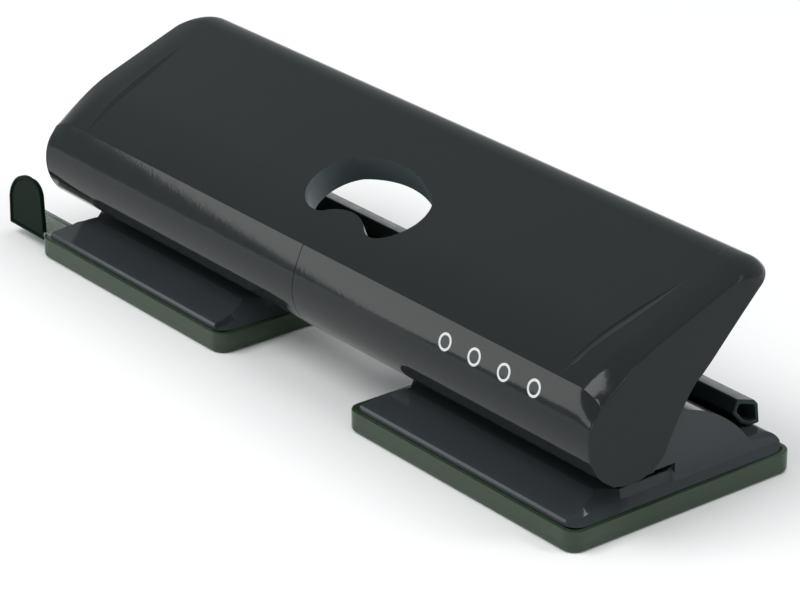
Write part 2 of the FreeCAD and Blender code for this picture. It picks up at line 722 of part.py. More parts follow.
def make_feet(centre):
    pads = [post(x, y, FOOT_R, (0, FOOT_PROUD + FOOT_SINK)) for x, y in foot_spots(centre)]
    return Part.makeCompound(pads)


GUIDE_INNER_X = -36.0
GUIDE_RIB = 0.6


PADDLE_OUTLINE = [
    # up the outer side, over the top, which is highest towards the tray, and down
    (-150.3, 12.9),
    ((-146.4, 19.7), (-137.1, PADDLE_Z[1])),
    ((-132.8, 21.0), (-131.3, 16.9)),
    (PADDLE_X[1], PADDLE_Z[0]),
]


def make_guide():
    """Sliding strip with an upright round-topped paddle at its outer end."""
    x = (PADDLE_X[0], GUIDE_INNER_X)
    strip = box(x, GUIDE_Y, (GUIDE_TOP - GUIDE_THICK, GUIDE_TOP))
    groove = box((x[0] + PADDLE_THICK, x[1] - 2), (GUIDE_Y[0] + PADDLE_THICK, GUIDE_Y[1] - 1.2),
                 (GUIDE_TOP - GUIDE_RIB, GUIDE_TOP))
    paddle_y = (GUIDE_Y[0], GUIDE_Y[0] + PADDLE_THICK)
    paddle = front_prism((PADDLE_X[0], PADDLE_Z[0]), PADDLE_OUTLINE, paddle_y)
    return strip.cut(groove).fuse(paddle).removeSplitter()


CLIP_SPAN = (-112.0, -96.0)
CLIP_THICK = 0.5


def make_guide_clip():
    """Bent strip of steel: a tongue under the guide, a riser and a tab under the die bed."""
    strip_low = GUIDE_TOP - GUIDE_THICK
    z = (strip_low - GAP - CLIP_THICK, strip_low - GAP)
    bed_low = SLOT_FLOOR - DIE_THICK - COVER_WALL
    riser_y = (GUIDE_Y[1] + LOOSE, GUIDE_Y[1] + LOOSE + CLIP_THICK)
    tongue = box(CLIP_SPAN, (GUIDE_Y[0] + 2.5, riser_y[1]), z)
    riser = box(CLIP_SPAN, riser_y, (z[0], bed_low))
    tab = box(CLIP_SPAN, (riser_y[0], DIE_Y[0] + 5), (bed_low - CLIP_THICK, bed_low))
    return tongue.fuse(riser).fuse(tab).removeSplitter()


# ---- build everything ---------------------------------------------------
def main():
    os.makedirs("parts", exist_ok=True)
    plan = handle_plan()
    shell = make_top_shell(plan)
    export("handle_top_shell", shell)
    export("pivot_rod", make_pivot_rod())
    export("rod_clips", make_rod_clips())
    export("connecting_rail", make_rail())
    export("rail_plugs", make_rail_plugs())
    export("rail_screws", make_rail_screws())
    export("frame_screws", make_frame_screws())
    export("paper_guide", make_guide())
    export("guide_clip", make_guide_clip())
    for name, side in (("left", -1), ("right", 1)):
        centre = side * UNIT_X
        export("barrel_cover_" + name, make_barrel_cover(side))
        export("end_cap_" + name, make_end_cap(side, plan))
        export("lever_bracket_" + name, make_lever(centre))
        export("base_cover_" + name, make_base_cover(centre))
        export("die_plate_" + name, make_die_plate(centre))
        export("punch_frame_" + name, make_punch_frame(centre))
        export("chip_tray_" + name, make_tray(centre))
        export("tray_feet_" + name, make_feet(centre))
    pin_xs = (-1.5 * HOLE_PITCH, -0.5 * HOLE_PITCH, 0.5 * HOLE_PITCH, 1.5 * HOLE_PITCH)
    for number, x in enumerate(pin_xs, start=1):
        export(f"punch_pin_{number}", make_pin(x))
        export(f"pin_collar_{number}", make_collar(x))
        export(f"pin_spring_{number}", make_spring(x))


main()
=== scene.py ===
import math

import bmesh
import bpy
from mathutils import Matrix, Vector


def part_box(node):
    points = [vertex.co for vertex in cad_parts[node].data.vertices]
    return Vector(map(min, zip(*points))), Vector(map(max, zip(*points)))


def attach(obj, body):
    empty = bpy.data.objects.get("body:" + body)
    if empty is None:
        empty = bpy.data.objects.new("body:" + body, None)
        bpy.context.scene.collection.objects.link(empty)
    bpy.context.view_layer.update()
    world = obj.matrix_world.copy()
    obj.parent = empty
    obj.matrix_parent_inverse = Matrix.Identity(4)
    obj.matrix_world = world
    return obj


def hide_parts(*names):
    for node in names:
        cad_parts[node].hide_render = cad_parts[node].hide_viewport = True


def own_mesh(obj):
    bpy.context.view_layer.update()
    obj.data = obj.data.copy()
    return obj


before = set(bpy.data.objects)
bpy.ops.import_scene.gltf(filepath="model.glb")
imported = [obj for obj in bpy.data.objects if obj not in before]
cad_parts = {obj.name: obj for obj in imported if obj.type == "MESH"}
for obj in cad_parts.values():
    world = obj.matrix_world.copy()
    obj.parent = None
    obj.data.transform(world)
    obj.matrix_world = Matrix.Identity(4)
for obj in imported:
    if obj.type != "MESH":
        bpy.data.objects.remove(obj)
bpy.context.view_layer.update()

# %% [markdown]
# # A long desk punch, finished piece by piece
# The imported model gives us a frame: every part at its true place and size, in
# metres.  This lesson dresses that frame.  The big glossy mouldings are rebuilt
# as clean meshes with real rounded edges, because a gloss finish shows every
# facet.  The steel parts inside keep their shapes and only get a finish.

# %% [markdown]
# ## Where things are
# A punch is easier to think about in its own working axes: X along the punch
# with zero midway between the two bases, Y from the front edge of the chip
# trays towards the back, Z up from the desk, all in millimetres.  The frame
# tells us where that working origin sits, so one small function turns working
# millimetres into metres in the frame.

# %% Working axes
MM = 0.001
LEFT_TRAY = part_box("chip_tray_left")
RIGHT_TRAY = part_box("chip_tray_right")
MIDDLE_X = (LEFT_TRAY[0].x + RIGHT_TRAY[1].x) / 2
FRONT_Y = LEFT_TRAY[0].y


def place(x, y, z):
    """A point in working millimetres, as a vector in the frame."""
    return Vector((MIDDLE_X + x * MM, FRONT_Y + y * MM, z * MM))


UNIT_X = (RIGHT_TRAY[0].x + RIGHT_TRAY[1].x) / 2 / MM - MIDDLE_X / MM
HANDLE_HALF = (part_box("end_cap_right")[1].x - MIDDLE_X) / MM
SIDES = {"left": -1, "right": 1}
print(f"bases at X = +-{UNIT_X:.1f} mm, handle ends at +-{HANDLE_HALF:.1f} mm")

# %% [markdown]
# ## Mesh helpers
# Nearly every moulding here is an outline pulled along a straight line, so the
# main helper sweeps a closed outline through a row of stations.  A second one
# stacks closed rings, which suits trays and screw heads.  The outline may be
# reshaped from station to station, which is how the handle's ends are drooped
# and rounded without any cutting.

# %% Closed meshes from rings
def make_piece(name, rings):
    """Solid skin through a row of closed rings, with a flat face at each end."""
    mesh = bpy.data.meshes.new(name)
    bm = bmesh.new()
    loops = [[bm.verts.new(point) for point in ring] for ring in rings]
    count = len(loops[0])
    for low, high in zip(loops, loops[1:]):
        for i in range(count):
            j = (i + 1) % count
            bm.faces.new((low[i], low[j], high[j], high[i]))
    bm.faces.new(reversed(loops[0]))
    bm.faces.new(loops[-1])
    bmesh.ops.recalc_face_normals(bm, faces=bm.faces)
    bm.to_mesh(mesh)
    bm.free()
    piece = bpy.data.objects.new(name, mesh)
    bpy.context.scene.collection.objects.link(piece)
    return piece


def keep_as_is(x, y, z):
    return x, y, z


def sweep(name, outline, stations, reshape=keep_as_is):
    """Solid of a YZ outline pulled along X through the stations."""
    rings = [[place(*reshape(x, y, z)) for y, z in outline] for x in stations]
    return make_piece(name, rings)


def upright(name, outline, heights):
    """Solid of an XY outline pulled up Z."""
    rings = [[place(x, y, z) for x, y in outline] for z in heights]
    return make_piece(name, rings)


def block(name, x, y, z):
    """Box between a low and a high value on each axis."""
    outline = [(y[0], z[0]), (y[1], z[0]), (y[1], z[1]), (y[0], z[1])]
    return sweep(name, outline, x)


# %% [markdown]
# Two meshes are joined or cut with Blender's exact boolean.  The edges are
# rounded afterwards with a bevel whose width is set edge by edge, so a rim that
# fingers touch is softer than a hidden one.  Weighted normals keep the flats
# flat between the rounded edges.  Everything is applied, so what is seen is
# what is in the mesh.

# %% Joining, cutting and rounding
def apply_modifiers(piece):
    """Turn what the modifiers show into the mesh itself."""
    graph = bpy.context.evaluated_depsgraph_get()
    done = bpy.data.meshes.new_from_object(piece.evaluated_get(graph))
    piece.modifiers.clear()
    piece.data = done
    return piece


def combine(piece, tools, operation):
    """Apply one exact boolean after another, then throw the tools away."""
    for tool in tools:
        step = piece.modifiers.new("combine", "BOOLEAN")
        step.operation = operation
        step.solver = "EXACT"
        step.object = tool
    apply_modifiers(piece)
    for tool in tools:
        bpy.data.objects.remove(tool)
    return piece


def cut(piece, *tools):
    return combine(piece, tools, "DIFFERENCE")


def join(piece, *tools):
    return combine(piece, tools, "UNION")


def keep_inside(piece, *tools):
    return combine(piece, tools, "INTERSECT")


SHARP = math.radians(28)      # a bend sharper than this is an edge to round
FLAT = math.radians(0.2)      # faces flatter than this to each other are one face
WELD = 0.002                  # points nearer than this are one point
CRISP = math.radians(40)      # a bend sharper than this is shaded as a corner


def round_edges(piece, width, share=None, segments=3):
    """Round the sharp edges.  share(middle) scales the width from edge to edge."""
    bm = bmesh.new()
    bm.from_mesh(piece.data)
    bmesh.ops.remove_doubles(bm, verts=bm.verts, dist=WELD * MM)
    bmesh.ops.dissolve_limit(bm, angle_limit=FLAT, verts=bm.verts, edges=bm.edges)
    weight = bm.edges.layers.float.new("bevel_weight_edge")
    count = 0
    for edge in bm.edges:
        if len(edge.link_faces) == 2 and edge.calc_face_angle(0) > SHARP:
            middle = (edge.verts[0].co + edge.verts[1].co) / 2
            edge[weight] = share(middle) if share else 1.0
            count += 1
    bm.to_mesh(piece.data)
    bm.free()
    bevel = piece.modifiers.new("round", "BEVEL")
    bevel.limit_method = "WEIGHT"
    bevel.width = width * MM
    bevel.segments = segments
    bevel.use_clamp_overlap = True
    bevel.miter_outer = "MITER_ARC"
    apply_modifiers(piece)
    print(f"{piece.name}: {count} sharp edges rounded at {width} mm")
    return piece


def smooth(piece):
    """Smooth shading that keeps flats flat and true corners crisp."""
    for face in piece.data.polygons:
        face.use_smooth = True
    piece.data.set_sharp_from_angle(angle=CRISP)
    normals = piece.modifiers.new("normals", "WEIGHTED_NORMAL")
    normals.keep_sharp = True
    normals.mode = "FACE_AREA"
    return apply_modifiers(piece)


# %% [markdown]
# ## Flat geometry in the side view
# The handle is drawn from the side: a long flat panel, a round barrel at the
# front and a rounded back.  These helpers sample arcs as short chords.  Chords
# of about a millimetre are too fine to see on a smooth shaded gloss surface.

# %% Arcs
CHORD = 0.8                   # millimetres


def polar(centre, radius, angle):
    return (centre[0] + radius * math.cos(angle), centre[1] + radius * math.sin(angle))


def arc(centre, radius, start, end):
    """Points along an arc from one angle to another, both ends included."""
    steps = max(2, round(abs(end - start) * radius / CHORD))
    return [polar(centre, radius, start + (end - start) * i / steps)
            for i in range(steps + 1)]


def angle_of(centre, point):
    """Direction of a point seen from a centre."""
    return math.atan2(point[1] - centre[1], point[0] - centre[0])


def arc_to(centre, radius, a, b):
    """Arc the short way round, from the direction of point a to that of point b."""
    start = angle_of(centre, a)
    turn = (angle_of(centre, b) - start + math.pi) % (2 * math.pi) - math.pi
    return arc(centre, radius, start, start + turn)


def arc_through(a, b, c):
    """Arc from a through b to c."""
    ax, ay = a
    bx, by = b
    cx, cy = c
    d = 2 * (ax * (by - cy) + bx * (cy - ay) + cx * (ay - by))
    sa, sb, sc = ax * ax + ay * ay, bx * bx + by * by, cx * cx + cy * cy
    centre = ((sa * (by - cy) + sb * (cy - ay) + sc * (ay - by)) / d,
              (sa * (cx - bx) + sb * (ax - cx) + sc * (bx - ax)) / d)
    radius = math.dist(centre, a)
    start, middle, end = (angle_of(centre, p) for p in (a, b, c))
    turn = (end - start) % (2 * math.pi)
    if (middle - start) % (2 * math.pi) > turn:
        turn -= 2 * math.pi
    return arc(centre, radius, start, start + turn)


def straight(a, b, step=3.0):
    """Points along a straight stretch, without its two ends."""
    count = max(1, round(math.dist(a, b) / step))
    return [(a[0] + (b[0] - a[0]) * i / count, a[1] + (b[1] - a[1]) * i / count)
            for i in range(1, count)]


def tangent_circle(start, direction, through):
    """Circle that leaves start in a direction and passes through another point."""
    dy, dz = through[0] - start[0], through[1] - start[1]
    normal = (-direction[1], direction[0])
    radius = (dy * dy + dz * dz) / (2 * (dy * normal[0] + dz * normal[1]))
    return (start[0] + radius * normal[0], start[1] + radius * normal[1]), abs(radius)


def rounded_rectangle(x, y, radius, steps=8):
    """Outline between two pairs of values, with its four corners rounded."""
    corners = ((x[1] - radius, y[1] - radius, 0), (x[0] + radius, y[1] - radius, 1),
               (x[0] + radius, y[0] + radius, 2), (x[1] - radius, y[0] + radius, 3))
    points = []
    for cx, cy, quarter in corners:
        for i in range(steps + 1):
            points.append(polar((cx, cy), radius, math.radians(90 * (quarter + i / steps))))
    return points


# %% [markdown]
# ## The handle's side outline
# The top panel is straight and rises towards the back.  At the front it bends
# over a brow into a crisp nose; below the nose the flank curves into the barrel.
# The inner skin is the same outline set in by the wall thickness.

# %% Points of the outline
PANEL_SLOPE = math.atan(0.38)
PANEL_DIR = (math.cos(PANEL_SLOPE), math.sin(PANEL_SLOPE))
PANEL_FRONT = (27.0, 54.1)    # the flat of the panel starts here
PANEL_BACK = (60.0, 66.64)    # and ends here
BACK_R = 10.0
UNDER_SLOPE = math.atan(0.85)
NOSE = (8.8, 44.2)
FLANK_START = (5.17, 35.5)    # the flank meets the round barrel here
BARREL = (20.0, 31.0)         # middle of the round barrel
BARREL_R = 15.5
SHELL = 2.5
BARREL_WALL = 2.2

BACK = (PANEL_BACK[0] + BACK_R * PANEL_DIR[1], PANEL_BACK[1] - BACK_R * PANEL_DIR[0])
BROW, BROW_R = tangent_circle(PANEL_FRONT, PANEL_DIR, NOSE)
flank_dir = (FLANK_START[1] - BARREL[1], BARREL[0] - FLANK_START[0])
flank_dir = tuple(c / math.hypot(*flank_dir) for c in flank_dir)
FLANK, FLANK_R = tangent_circle(FLANK_START, flank_dir, NOSE)


def panel_line(depth):
    """Outer or inner line of the panel, from the nose to the free back lip."""
    brow = arc_to(BROW, BROW_R - depth, NOSE, PANEL_FRONT)
    back = arc(BACK, BACK_R - depth, math.pi / 2 + PANEL_SLOPE, UNDER_SLOPE)
    return brow + straight(brow[-1], back[0]) + back


def flank_line(depth):
    """From the nose down to where the round barrel starts."""
    return arc_to(FLANK, FLANK_R - depth, NOSE, FLANK_START)


def barrel_line(depth, end):
    """Round of the barrel, from the flank down to an angle below its middle."""
    start = angle_of(BARREL, FLANK_START) % (2 * math.pi)
    return arc(BARREL, BARREL_R - depth, start, math.pi + end)


# %% [markdown]
# ## How the handle's ends are shaped
# Over its last centimetre the handle droops a little, more at the nose than at
# the back, and its back corners are rounded in plan.  Rather than cutting, each
# point of the sweep is moved: the stations carry the shape.  The corner is then
# smooth all the way round, and only the end itself keeps a crisp rim.

# %% End shaping
DROOP_FROM = 120.5
DROOP_BACK = 1.0
DROOP_NOSE = 3.2
CORNER_R = 8.5
BACK_EDGE = BACK[0] + BACK_R * math.cos(UNDER_SLOPE)
SQUEEZE_FROM = 44.0           # the back corner draws in everything behind this


def ramp(low, high, value):
    """Smooth step from 0 to 1 between two values."""
    t = min(1.0, max(0.0, (value - low) / (high - low)))
    return t * t * (3 - 2 * t)


def droop(x, y, z):
    """How far a point of the handle's end sinks."""
    t = max(0.0, (abs(x) - DROOP_FROM) / (HANDLE_HALF - DROOP_FROM))
    amount = DROOP_NOSE + (DROOP_BACK - DROOP_NOSE) * ramp(8.0, 30.0, y)
    return amount * t * t * ramp(35.0, 46.0, z)


def corner_shift(x, inset):
    """How far the back edge is drawn in by the rounded corner in plan."""
    radius = CORNER_R - inset
    over = min(max(0.0, abs(x) - (HANDLE_HALF - CORNER_R)), radius)
    return radius - math.sqrt(radius * radius - over * over)


def shape_end(x, y, z, inset=0.0):
    """Move a point of the sweep in for the round corner and down for the droop."""
    if y > SQUEEZE_FROM:
        share = (y - SQUEEZE_FROM) / (BACK_EDGE - SQUEEZE_FROM)
        shift = corner_shift(x, inset) * share
        y -= shift
        z -= shift * math.tan(PANEL_SLOPE)
    return x, y, z - droop(x, y, z)


# %% [markdown]
# ## Top panel
# The panel is one injection moulded sheet, 2.5 mm thick, stiffened by ribs
# underneath.  A slim crescent is pressed into it near each end, just before the
# droop.  A cut would leave a hard rim, so a few extra stations lie close
# together there: they bend to the crescent and sink, steeply on one side and
# gently on the other.

# %% Stations along the handle
PARTING = 129.35              # the end caps start here
LEAD_STEPS = 8
CORNER_STEPS = 12


def end_stations(inner, outer):
    """Positions that crowd together towards the rounded end."""
    corner = HANDLE_HALF - CORNER_R
    lead = [inner + (corner - inner) * i / LEAD_STEPS for i in range(LEAD_STEPS)]
    full = math.asin(min(1.0, (outer - corner) / CORNER_R))
    return lead + [corner + CORNER_R * math.sin(full * i / CORNER_STEPS)
                   for i in range(CORNER_STEPS + 1)]


# %% Crescent near each end
CRESCENT_Y = (8.5, 48.0)      # from near the nose to near the back
CRESCENT_X = (112.6, 117.4)   # its middle line leans outwards
CRESCENT_WIDTH = 3.4
CRESCENT_DEPTH = 0.42
CRESCENT_STATION = 115.0      # its stations stand round this one before they bend
CRESCENT_EDGE = 0.5           # and reach this far to each side
CRESCENT_REACH = 4.0          # beyond this the panel is left as it was
CRESCENT_ROWS = [
    # place across the crescent, share of the full depth
    (-CRESCENT_EDGE, 0.0), (-0.41, 0.94), (-0.36, 1.0), (-0.30, 0.97),
    (0.20, 0.2), (0.40, -0.25), (CRESCENT_EDGE, 0.0),
]
crescent_depth = {round(CRESCENT_STATION + row, 3): depth for row, depth in CRESCENT_ROWS}


def crescent(y):
    """Middle of the crescent and how open it is at a distance from the front."""
    t = min(1.0, max(0.0, (y - CRESCENT_Y[0]) / (CRESCENT_Y[1] - CRESCENT_Y[0])))
    middle = CRESCENT_X[0] + (CRESCENT_X[1] - CRESCENT_X[0]) * t
    narrowest = 0.04
    return middle, narrowest + (1 - narrowest) * math.sin(math.pi * t) ** 0.8


def shape_panel(x, y, z):
    """Bend the stations round the crescent, press it in, then shape the end."""
    out = abs(x)
    row = out - CRESCENT_STATION
    middle, opening = crescent(y)
    if abs(row) <= CRESCENT_EDGE + 0.001:
        out = middle + row * CRESCENT_WIDTH * opening
        z -= CRESCENT_DEPTH * opening * crescent_depth[round(abs(x), 3)]
    elif abs(row) < CRESCENT_REACH:
        edge = math.copysign(CRESCENT_EDGE, row)
        near = middle + edge * CRESCENT_WIDTH * opening
        far = CRESCENT_STATION + math.copysign(CRESCENT_REACH, row)
        span = CRESCENT_REACH - CRESCENT_EDGE
        out = near + (far - near) * (abs(row) - CRESCENT_EDGE) / span
    return shape_end(math.copysign(out, x), y, z)


# %% The sheet
outer_line = panel_line(0)
inner_line = panel_line(SHELL)
half_stations = [0.0, 30.0, 60.0, 90.0, 108.0, CRESCENT_STATION - CRESCENT_REACH, 113.0]
half_stations += [CRESCENT_STATION + row for row, depth in CRESCENT_ROWS]
half_stations += [116.5] + end_stations(CRESCENT_STATION + CRESCENT_REACH, PARTING)
stations = [-x for x in reversed(half_stations[1:])] + half_stations
panel = sweep("handle_panel", outer_line + inner_line[::-1], stations, shape_panel)
print("panel outline has", len(outer_line) + len(inner_line), "points")

# %% Ribs under the panel
RIB_XS = (33.0, 57.0)
RIB_THICK = 1.8
RIB_DEPTH = 5.0


def rib(x):
    deep = panel_line(SHELL + RIB_DEPTH)
    outline = panel_line(SHELL * 0.5) + deep[::-1]
    return sweep("rib", outline, (x - RIB_THICK / 2, x + RIB_THICK / 2))


ribs = [rib(side * x) for side in SIDES.values() for x in RIB_XS]

# %% [markdown]
# The kidney shaped hand opening has a deep wall round it, square to the panel.
# Ribs and wall are joined on first and the opening is cut last, so that its rim
# is clean.  The rim gets the widest rounding, since fingers hook into it.

# %% Hand opening
GRIP_START = (-7.6, 18.3)
GRIP_ARCS = [
    # each arc goes through its first point to its second
    ((-19.6, 28.5), (-14.9, 39.7)),
    ((1.6, 43.8), (18.2, 40.0)),
    ((27.6, 30.5), (21.6, 18.9)),
    ((18.0, 18.2), (14.5, 19.6)),
    ((4.8, 22.6), (-3.2, 19.9)),
    ((-5.3, 18.7), (-7.6, 18.3)),
]
GRIP_WALL = 2.0
GRIP_DEPTH = 8.5
GRIP_ABOVE = 4.0
GRIP_LOW = place(-24.5, 15.5, 0)      # a box round the opening and its wall
GRIP_HIGH = place(28.5, 48.5, 90)


def grip_outline(grow):
    """The opening's outline on the panel, widened evenly by an amount."""
    points = []
    here = GRIP_START
    for middle, end in GRIP_ARCS:
        points += arc_through(here, middle, end)[:-1]
        here = end
    moved = []
    count = len(points)
    for i, (x, y) in enumerate(points):
        ax, ay = points[i - 2]
        bx, by = points[(i + 2) % count]
        tx, ty = bx - ax, (by - ay) / PANEL_DIR[0]
        length = math.hypot(tx, ty)
        moved.append((x - grow * ty / length, y + grow * tx / length * PANEL_DIR[0]))
    return moved


def grip_column(name, grow, above, below):
    """Prism of the opening, square to the panel."""
    outline = grip_outline(grow)
    rings = []
    for lift in (above, -below):
        ring = []
        for x, y in outline:
            z = PANEL_FRONT[1] + (y - PANEL_FRONT[0]) * math.tan(PANEL_SLOPE)
            ring.append(place(x, y - lift * PANEL_DIR[1], z + lift * PANEL_DIR[0]))
        rings.append(ring)
    return make_piece(name, rings)


wall = grip_column("wall", GRIP_WALL, -SHELL / 2, GRIP_DEPTH)
join(panel, wall, *ribs)
cut(panel, grip_column("hole", 0, GRIP_ABOVE, GRIP_DEPTH + 1))

# %% Rounding the panel
def near_grip(point):
    """Is a point of the panel at the hand opening?"""
    return all(GRIP_LOW[i] < point[i] < GRIP_HIGH[i] for i in (0, 1))


def panel_share(middle):
    """Full rounding at the hand opening, about half at the ends, little elsewhere."""
    if near_grip(middle):
        return 1.0
    at_end = abs(middle.x - MIDDLE_X) > (PARTING - 0.2) * MM
    return 0.55 if at_end else 0.3


round_edges(panel, width=0.9, share=panel_share)
smooth(panel)

# %% [markdown]
# ## Barrel covers
# The barrel comes in two halves that meet in the middle of the handle with a
# fine seam.  Over each base the barrel is open underneath, so the pins and the
# lever can be reached; between the bases it closes nearly all the way round.

# %% Barrel halves
BARREL_OPEN = math.radians(66)      # where it ends over a base, below level
BARREL_CLOSED = math.radians(150)   # where it ends between the bases
BRIDGE_END = 28.5
SEAM = 0.12


def barrel_outline(end):
    """Section of the barrel's wall, tucked up to the panel's inside at the nose."""
    outer = flank_line(0) + barrel_line(0, end)[1:]
    inner = flank_line(BARREL_WALL) + barrel_line(BARREL_WALL, end)[1:]
    inner[0] = panel_line(SHELL)[0]
    return outer + inner[::-1]


def barrel_share(middle):
    """The seam in the middle is softest near the nose, where thumbs pass over it."""
    at_seam = abs(middle.x - MIDDLE_X) < 2 * MM
    return 1.0 if at_seam and middle.z > FLANK_START[1] * MM else 0.4


def make_barrel(side, name):
    stations = [SEAM, 6.0, 14.0, 22.0, BRIDGE_END, 45.0, 70.0, 90.0, 108.0]
    stations += end_stations(111.0, PARTING)
    piece = sweep("barrel_" + name, barrel_outline(BARREL_CLOSED),
                  [side * x for x in stations], shape_end)
    reach = 2 * BARREL_R
    first = math.pi + BARREL_OPEN
    fan = [BARREL] + [polar(BARREL, reach, first + math.radians(a)) for a in (0, 45, 90)]
    room = sweep("room", fan, (side * BRIDGE_END, side * (HANDLE_HALF + 1)))
    cut(piece, room)
    round_edges(piece, width=0.6, share=barrel_share)
    return smooth(piece)


barrels = {name: make_barrel(side, name) for name, side in SIDES.items()}

# %% [markdown]
# ## End caps
# A flat cap closes each end of the handle.  It follows the whole side outline:
# panel, back, a waist underneath and the full round of the barrel.  Only its
# top rim is crisp; a hair line parts it from the panel.

# %% End caps
CAP_WAIST = 28.0              # length of the straight stretch under the back
CAP_NECK = (35.8, 29.4)       # the hollow between waist and barrel
LOBE_END = math.radians(-42)
CAP_GAP = 0.06
CAP_STEPS = 6


def cap_outline():
    """The whole side outline of the handle, all the way round."""
    panel_part = panel_line(0)
    under = (math.cos(UNDER_SLOPE), math.sin(UNDER_SLOPE))
    lip = panel_part[-1]
    waist = (BACK[0] - CAP_WAIST * under[0], BACK[1] - CAP_WAIST * under[1])
    lobe = polar(BARREL, BARREL_R, LOBE_END)
    neck = arc_through(waist, CAP_NECK, lobe)
    start = 2 * math.pi + LOBE_END
    end = angle_of(BARREL, FLANK_START) % (2 * math.pi)
    round_part = arc(BARREL, BARREL_R, start, end)
    flank = flank_line(0)[::-1]
    return panel_part + straight(lip, waist) + neck + round_part[1:] + flank[1:-1]


def make_end_cap(side, name):
    corner = HANDLE_HALF - CORNER_R
    full = math.asin((PARTING + CAP_GAP - corner) / CORNER_R)
    stations = [corner + CORNER_R * math.sin(full + (math.pi / 2 - full) * i / CAP_STEPS)
                for i in range(CAP_STEPS + 1)]
    piece = sweep("end_cap_" + name + "_moulded", cap_outline(),
                  [side * x for x in stations], shape_end)
    round_edges(piece, width=0.45)
    return smooth(piece)


caps = {name: make_end_cap(side, name) for name, side in SIDES.items()}

# %% [markdown]
# ## Base covers
# Each base has a black cover.  From the front it shows a low bead, a pillowed
# ramp that leads the paper in, the flat paper bed, a small step up to the rear
# ledge, and a hump that houses the steel frame.  Each end has a steep skirt, a
# crease that rises from front to back, and a bevel above it.  So the cover is
# one outline pulled sideways and kept inside two other solids: one for the
# ends, one for the corners rounded in plan.  The same shape, smaller by the
# wall, is taken out from below.

# %% Sizes of a base
TRAY_WIDTH = (RIGHT_TRAY[1].x - RIGHT_TRAY[0].x) / MM
TRAY_DEPTH = (RIGHT_TRAY[1].y - RIGHT_TRAY[0].y) / MM
TRAY_TOP = RIGHT_TRAY[1].z / MM
TRAY_LOW = RIGHT_TRAY[0].z / MM
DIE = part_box("die_plate_right")
SLOT_FLOOR = DIE[1].z / MM
COVER_INSET = 1.5
COVER_WALL = 2.0
COVER_CORNER = 4.5
COVER_HALF = TRAY_WIDTH / 2 - COVER_INSET
COVER_BACK = TRAY_DEPTH - COVER_INSET
SLOT_TOP = 13.4
LEDGE = 11.9
STOP_Y = 38.0                 # the paper stops here
STEP_LEAN = 0.5
DIE_Y = (21.0, 60.0)
DIE_HALF = 43.4
DIE_THICK = 2.0
LIP = 0.1
PLAN_TOP = 40.0
ROOM_TOP = 30.0


def cover_side(inset):
    """Side outline of a cover, from the front skirt over the bed to the back."""
    low = -inset
    front = COVER_INSET + inset
    bead = (2.8 + inset, 8.6 + low)
    points = [(front, TRAY_TOP + low)]
    points += arc_through((front, 7.7 + low), (1.9 + inset, 8.4 + low), bead)
    points += arc_through(bead, (9.0 + inset / 2, 9.6 + low), (15.5, SLOT_FLOOR + low))[1:]
    points += [(STOP_Y + inset, SLOT_FLOOR + low), (STOP_Y + STEP_LEAN + inset, LEDGE + low)]
    points += arc_through((COVER_BACK - 5.5, LEDGE + low),
                          (COVER_BACK - 2.3 - inset, LEDGE - 1.2 + low),
                          (COVER_BACK - 0.4 - inset, 8.2))
    points += [(COVER_BACK - inset, TRAY_TOP + low)]
    return points


# %% Ends of the covers
CREASE_INSET = 3.0
CREASE_FRONT_Z = 8.7
CREASE_BACK_Z = 10.3
BED_HALF = DIE_HALF + 0.7     # the flat top beside the die plate
LEDGE_HALF = 43.6
KNEE = 0.8                    # share of the skirt that leans the same all along
END_ROWS = [
    # Y, height of the crease, half width of the flat top, its height
    (0.0, 6.9, LEDGE_HALF, SLOT_FLOOR),
    (5.0, 7.2, 43.4, SLOT_FLOOR),
    (9.0, 7.9, 42.0, SLOT_FLOOR),
    (13.0, 8.4, 40.6, SLOT_FLOOR),
    (16.5, 8.6, 40.0, SLOT_FLOOR),
    (20.8, CREASE_FRONT_Z, BED_HALF, SLOT_FLOOR),
    (38.3, CREASE_FRONT_Z, BED_HALF, SLOT_FLOOR),
    (39.6, CREASE_BACK_Z, LEDGE_HALF, LEDGE),
    (TRAY_DEPTH, CREASE_BACK_Z, LEDGE_HALF, LEDGE),
]


def leaning_ends(centre, inset):
    """What the slanted skirts and bevels at both ends leave of a cover."""
    half = COVER_HALF - inset
    crease = half - CREASE_INSET
    rings = []
    for y, crease_z, flat, top in END_ROWS:
        knee_z = TRAY_TOP + KNEE * (min(crease_z, CREASE_FRONT_Z) - TRAY_TOP)
        right = [(half, TRAY_TOP - inset), (half - KNEE * CREASE_INSET, knee_z - inset),
                 (crease, crease_z - inset), (flat - inset / 2, top - inset)]
        left = [(-x, z) for x, z in reversed(right)]
        rings.append([place(centre + x, y, z) for x, z in right + left])
    return make_piece("ends", rings)


def cover_body(centre, inset):
    """A cover without its hump, drawn in by an inset."""
    half = COVER_HALF - inset
    body = sweep("body", cover_side(inset), (centre - half, centre + half))
    plan = upright("plan", rounded_rectangle(
        (centre - half, centre + half), (COVER_INSET + inset, COVER_BACK - inset),
        COVER_CORNER - inset / 2), (0, PLAN_TOP))
    return keep_inside(body, leaning_ends(centre, inset), plan)


# %% [markdown]
# Behind the slot the cover swells into a hump, with a wing at each side that
# reaches forward past the pins and hides the steel frame from the ends.  The
# hump is one more outline pulled sideways.  The wings are a solid of the same
# width with its middle taken out, which leaves two thin cheeks.

# %% The hump and its wings
HILL_HALF = 44.9
HILL_Y = STOP_Y + 2.2
HILL_TOP = 28.2
HILL_CREST_Y = 44.0           # behind this the hump slopes down
WING_Y = 32.6
GAP = (0, 60)


